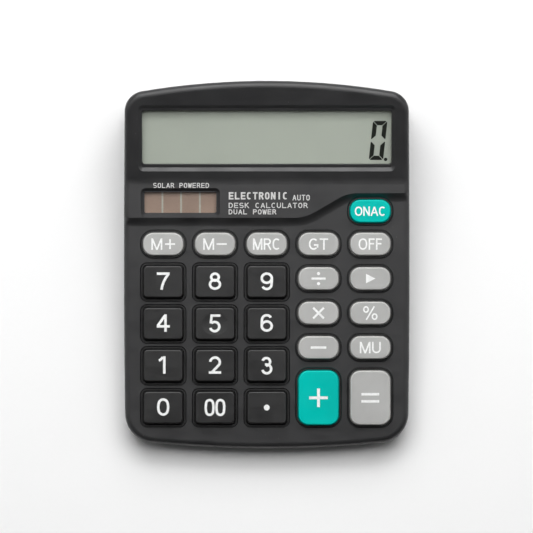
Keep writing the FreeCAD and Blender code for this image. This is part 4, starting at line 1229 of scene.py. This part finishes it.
class CALCULATOR_OT_keypad_rubber(CalculatorPiece, bpy.types.Operator):
    """Part the keypad sheet into its web, its domes and their contact pills"""

    bl_idname = "calculator.keypad_rubber"
    bl_label = "Keypad Rubber"

    def execute(self, context):
        silicone = rubber("keypad_silicone", (0.33, 0.34, 0.36), 0.6)
        carbon = rubber("pill_carbon", (0.015, 0.015, 0.016), 0.55)
        low, high = extent("keypad_membrane", DECK)
        sheet_top = low.z + SHEET_THICKNESS + CUT_CLEARANCE
        cut = DECK @ Vector((0.0, 0.0, sheet_top))
        web = self.copy_node("keypad_membrane", "keypad_web")
        self.slice(web, cut, DECK_UP)
        finish_piece(web, "keypad_web", silicone, "case")
        domes = self.copy_node("keypad_membrane", "dome")
        self.slice(domes, cut, -DECK_UP)
        centres = {key: key_centre(key) for key in ALL_KEYS}
        for dome in self.loose_parts(domes):
            key = self.nearest(dome, centres)
            name = key.replace("key_", "dome_")
            finish_piece(dome, name, silicone, "case")
            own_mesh(dome)
        pills = self.copy_node("carbon_pills", "pill")
        for pill in self.loose_parts(pills):
            key = self.nearest(pill, centres)
            finish_piece(pill, key.replace("key_", "pill_"), carbon, key)
            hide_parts("carbon_pills")
        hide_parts("keypad_membrane")
        return {"FINISHED"}

    def copy_node(self, node, name):
        """A merged copy of a CAD node's shape."""
        take(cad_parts[node])
        bpy.ops.object.duplicate()
        copy = bpy.context.object
        copy.parent = None
        for key in list(copy.keys()):
            if key.startswith("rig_"):
                del copy[key]
        copy.name = name
        bpy.ops.object.mode_set(mode="EDIT")
        pick_all()
        bpy.ops.mesh.remove_doubles(threshold=0.001 * MM)
        bpy.ops.object.mode_set(mode="OBJECT")
        bpy.ops.mesh.customdata_custom_splitnormals_clear()
        return copy

    def slice(self, piece, point, normal):
        """Cuts away what lies beyond point along normal and closes the cut."""
        take(piece)
        bpy.ops.object.mode_set(mode="EDIT")
        pick_all()
        bpy.ops.mesh.bisect(plane_co=point, plane_no=normal, use_fill=True, clear_outer=True, threshold=1e-7)
        pick_all()
        bpy.ops.mesh.quads_convert_to_tris()
        bpy.ops.object.mode_set(mode="OBJECT")

    def loose_parts(self, piece):
        take(piece)
        bpy.ops.object.mode_set(mode="EDIT")
        pick_all()
        bpy.ops.mesh.separate(type="LOOSE")
        bpy.ops.object.mode_set(mode="OBJECT")
        return list(bpy.context.selected_objects)

    def nearest(self, piece, centres):
        turned = DECK.inverted()
        points = [turned @ v.co for v in piece.data.vertices]
        here = sum(points, Vector()) / len(points)
        return min(centres, key=lambda key: (centres[key].xy - here.xy).length)


class CALCULATOR_OT_studio(CalculatorPiece, bpy.types.Operator):
    """Set up the floor, soft lights and camera"""

    bl_idname = "calculator.studio"
    bl_label = "Studio"

    def execute(self, context):
        settings = context.scene.calculator_studio
        self.lay_floor(settings)
        self.light("soft_box", (0.0, 0.95, 0.75), (1.4, 0.7), settings.soft_box)
        self.light("overhead", (0.0, 0.45, 0.95), (1.3, 0.9), settings.overhead)
        self.light("fill_left", (-1.1, 0.1, 0.6), (0.6, 0.9), settings.side_fill)
        self.light("fill_right", (1.1, 0.1, 0.6), (0.6, 0.9), settings.side_fill)
        world = bpy.data.worlds.new("studio_sky")
        context.scene.world = world
        world.use_nodes = True
        tree = world.node_tree
        overhead = Vector((0.0, 0.5, 0.87)).normalized()
        looking = put(tree, "TexCoord").outputs["Generated"]
        along = put(tree, "VectorMath", {0: looking, 1: overhead}, operation="DOT_PRODUCT").outputs["Value"]
        glow = ramp(tree, along, 0.35, 0.95, settings.surround, settings.sky)
        tree.links.new(glow, tree.nodes["Background"].inputs[1])
        self.place_camera(context, settings)
        context.scene.view_settings.view_transform = "Standard"
        return {"FINISHED"}

    def lay_floor(self, settings):
        clear_selection()
        bpy.ops.mesh.primitive_plane_add(size=6.0, location=(0.0, 0.0, 0.0))
        floor = bpy.context.object
        floor.name = "floor"
        made = new_material("floor_paper")
        tree = made[1]
        where = place_in_object(tree)
        fibre = noise(tree, where, 900.0, 3.0)
        shade = mix_colour(
            tree, fibre.outputs[0], rgba(settings.floor, 0.99), rgba(settings.floor, 1.01)
        )
        floor.data.materials.append(finish_material(made, {"Base Color": shade, "Roughness": 0.85}))

    def light(self, name, place, size, power):
        data = bpy.data.lights.new(name, "AREA")
        data.shape = "RECTANGLE"
        data.size, data.size_y = size
        data.energy = power
        lamp = bpy.data.objects.new(name, data)
        bpy.context.scene.collection.objects.link(lamp)
        lamp.location = place
        lamp.rotation_euler = (Vector((0.0, 0.0, 0.0)) - Vector(place)).to_track_quat("-Z", "Y").to_euler()

    def place_camera(self, context, settings):
        data = bpy.data.cameras.new("camera")
        data.lens = settings.camera_lens
        data.sensor_width = 36.0
        data.clip_start = 0.01
        camera = bpy.data.objects.new("camera", data)
        context.scene.collection.objects.link(camera)
        aim = Matrix.Translation((*CAMERA_AIM, settings.camera_distance))
        camera.matrix_world = DECK @ aim
        context.scene.camera = camera


class CALCULATOR_PT_panel(bpy.types.Panel):
    bl_idname = "CALCULATOR_PT_panel"
    bl_label = "Desk Calculator"
    bl_space_type = "VIEW_3D"
    bl_region_type = "UI"
    bl_category = "Desk Calculator"

    def draw(self, context):
        for operator in OPERATORS:
            self.layout.operator(operator.bl_idname)
        for group in SETTINGS:
            box = self.layout.box()
            settings = getattr(context.scene, group)
            for name in settings.__annotations__:
                box.prop(settings, name)


OPERATORS = (
    CALCULATOR_OT_mouldings,
    CALCULATOR_OT_keys,
    CALCULATOR_OT_windows,
    CALCULATOR_OT_inner_parts,
    CALCULATOR_OT_key_legends,
    CALCULATOR_OT_deck_print,
    CALCULATOR_OT_display_characters,
    CALCULATOR_OT_solar_bars,
    CALCULATOR_OT_keypad_rubber,
    CALCULATOR_OT_studio,
)
SETTINGS = {
    "calculator_legends": CalculatorLegends,
    "calculator_colours": CalculatorColours,
    "calculator_display": CalculatorDisplay,
    "calculator_studio": CalculatorStudio,
}


def register():
    for name, group in SETTINGS.items():
        bpy.utils.register_class(group)
        setattr(bpy.types.Scene, name, PointerProperty(type=group))
    for operator in OPERATORS:
        bpy.utils.register_class(operator)
    bpy.utils.register_class(CALCULATOR_PT_panel)


def unregister():
    bpy.utils.unregister_class(CALCULATOR_PT_panel)
    for operator in reversed(OPERATORS):
        bpy.utils.unregister_class(operator)
    for name, group in reversed(SETTINGS.items()):
        delattr(bpy.types.Scene, name)
        bpy.utils.unregister_class(group)


def main():
    register()
    build_groups()
    bpy.ops.calculator.mouldings()
    bpy.ops.calculator.keys()
    bpy.ops.calculator.windows()
    bpy.ops.calculator.inner_parts()
    bpy.ops.calculator.key_legends()
    bpy.ops.calculator.deck_print()
    bpy.ops.calculator.display_characters()
    bpy.ops.calculator.solar_bars()
    bpy.ops.calculator.keypad_rubber()
    bpy.ops.calculator.studio()
    clear_selection()


if __name__ == "__main__":
    main()
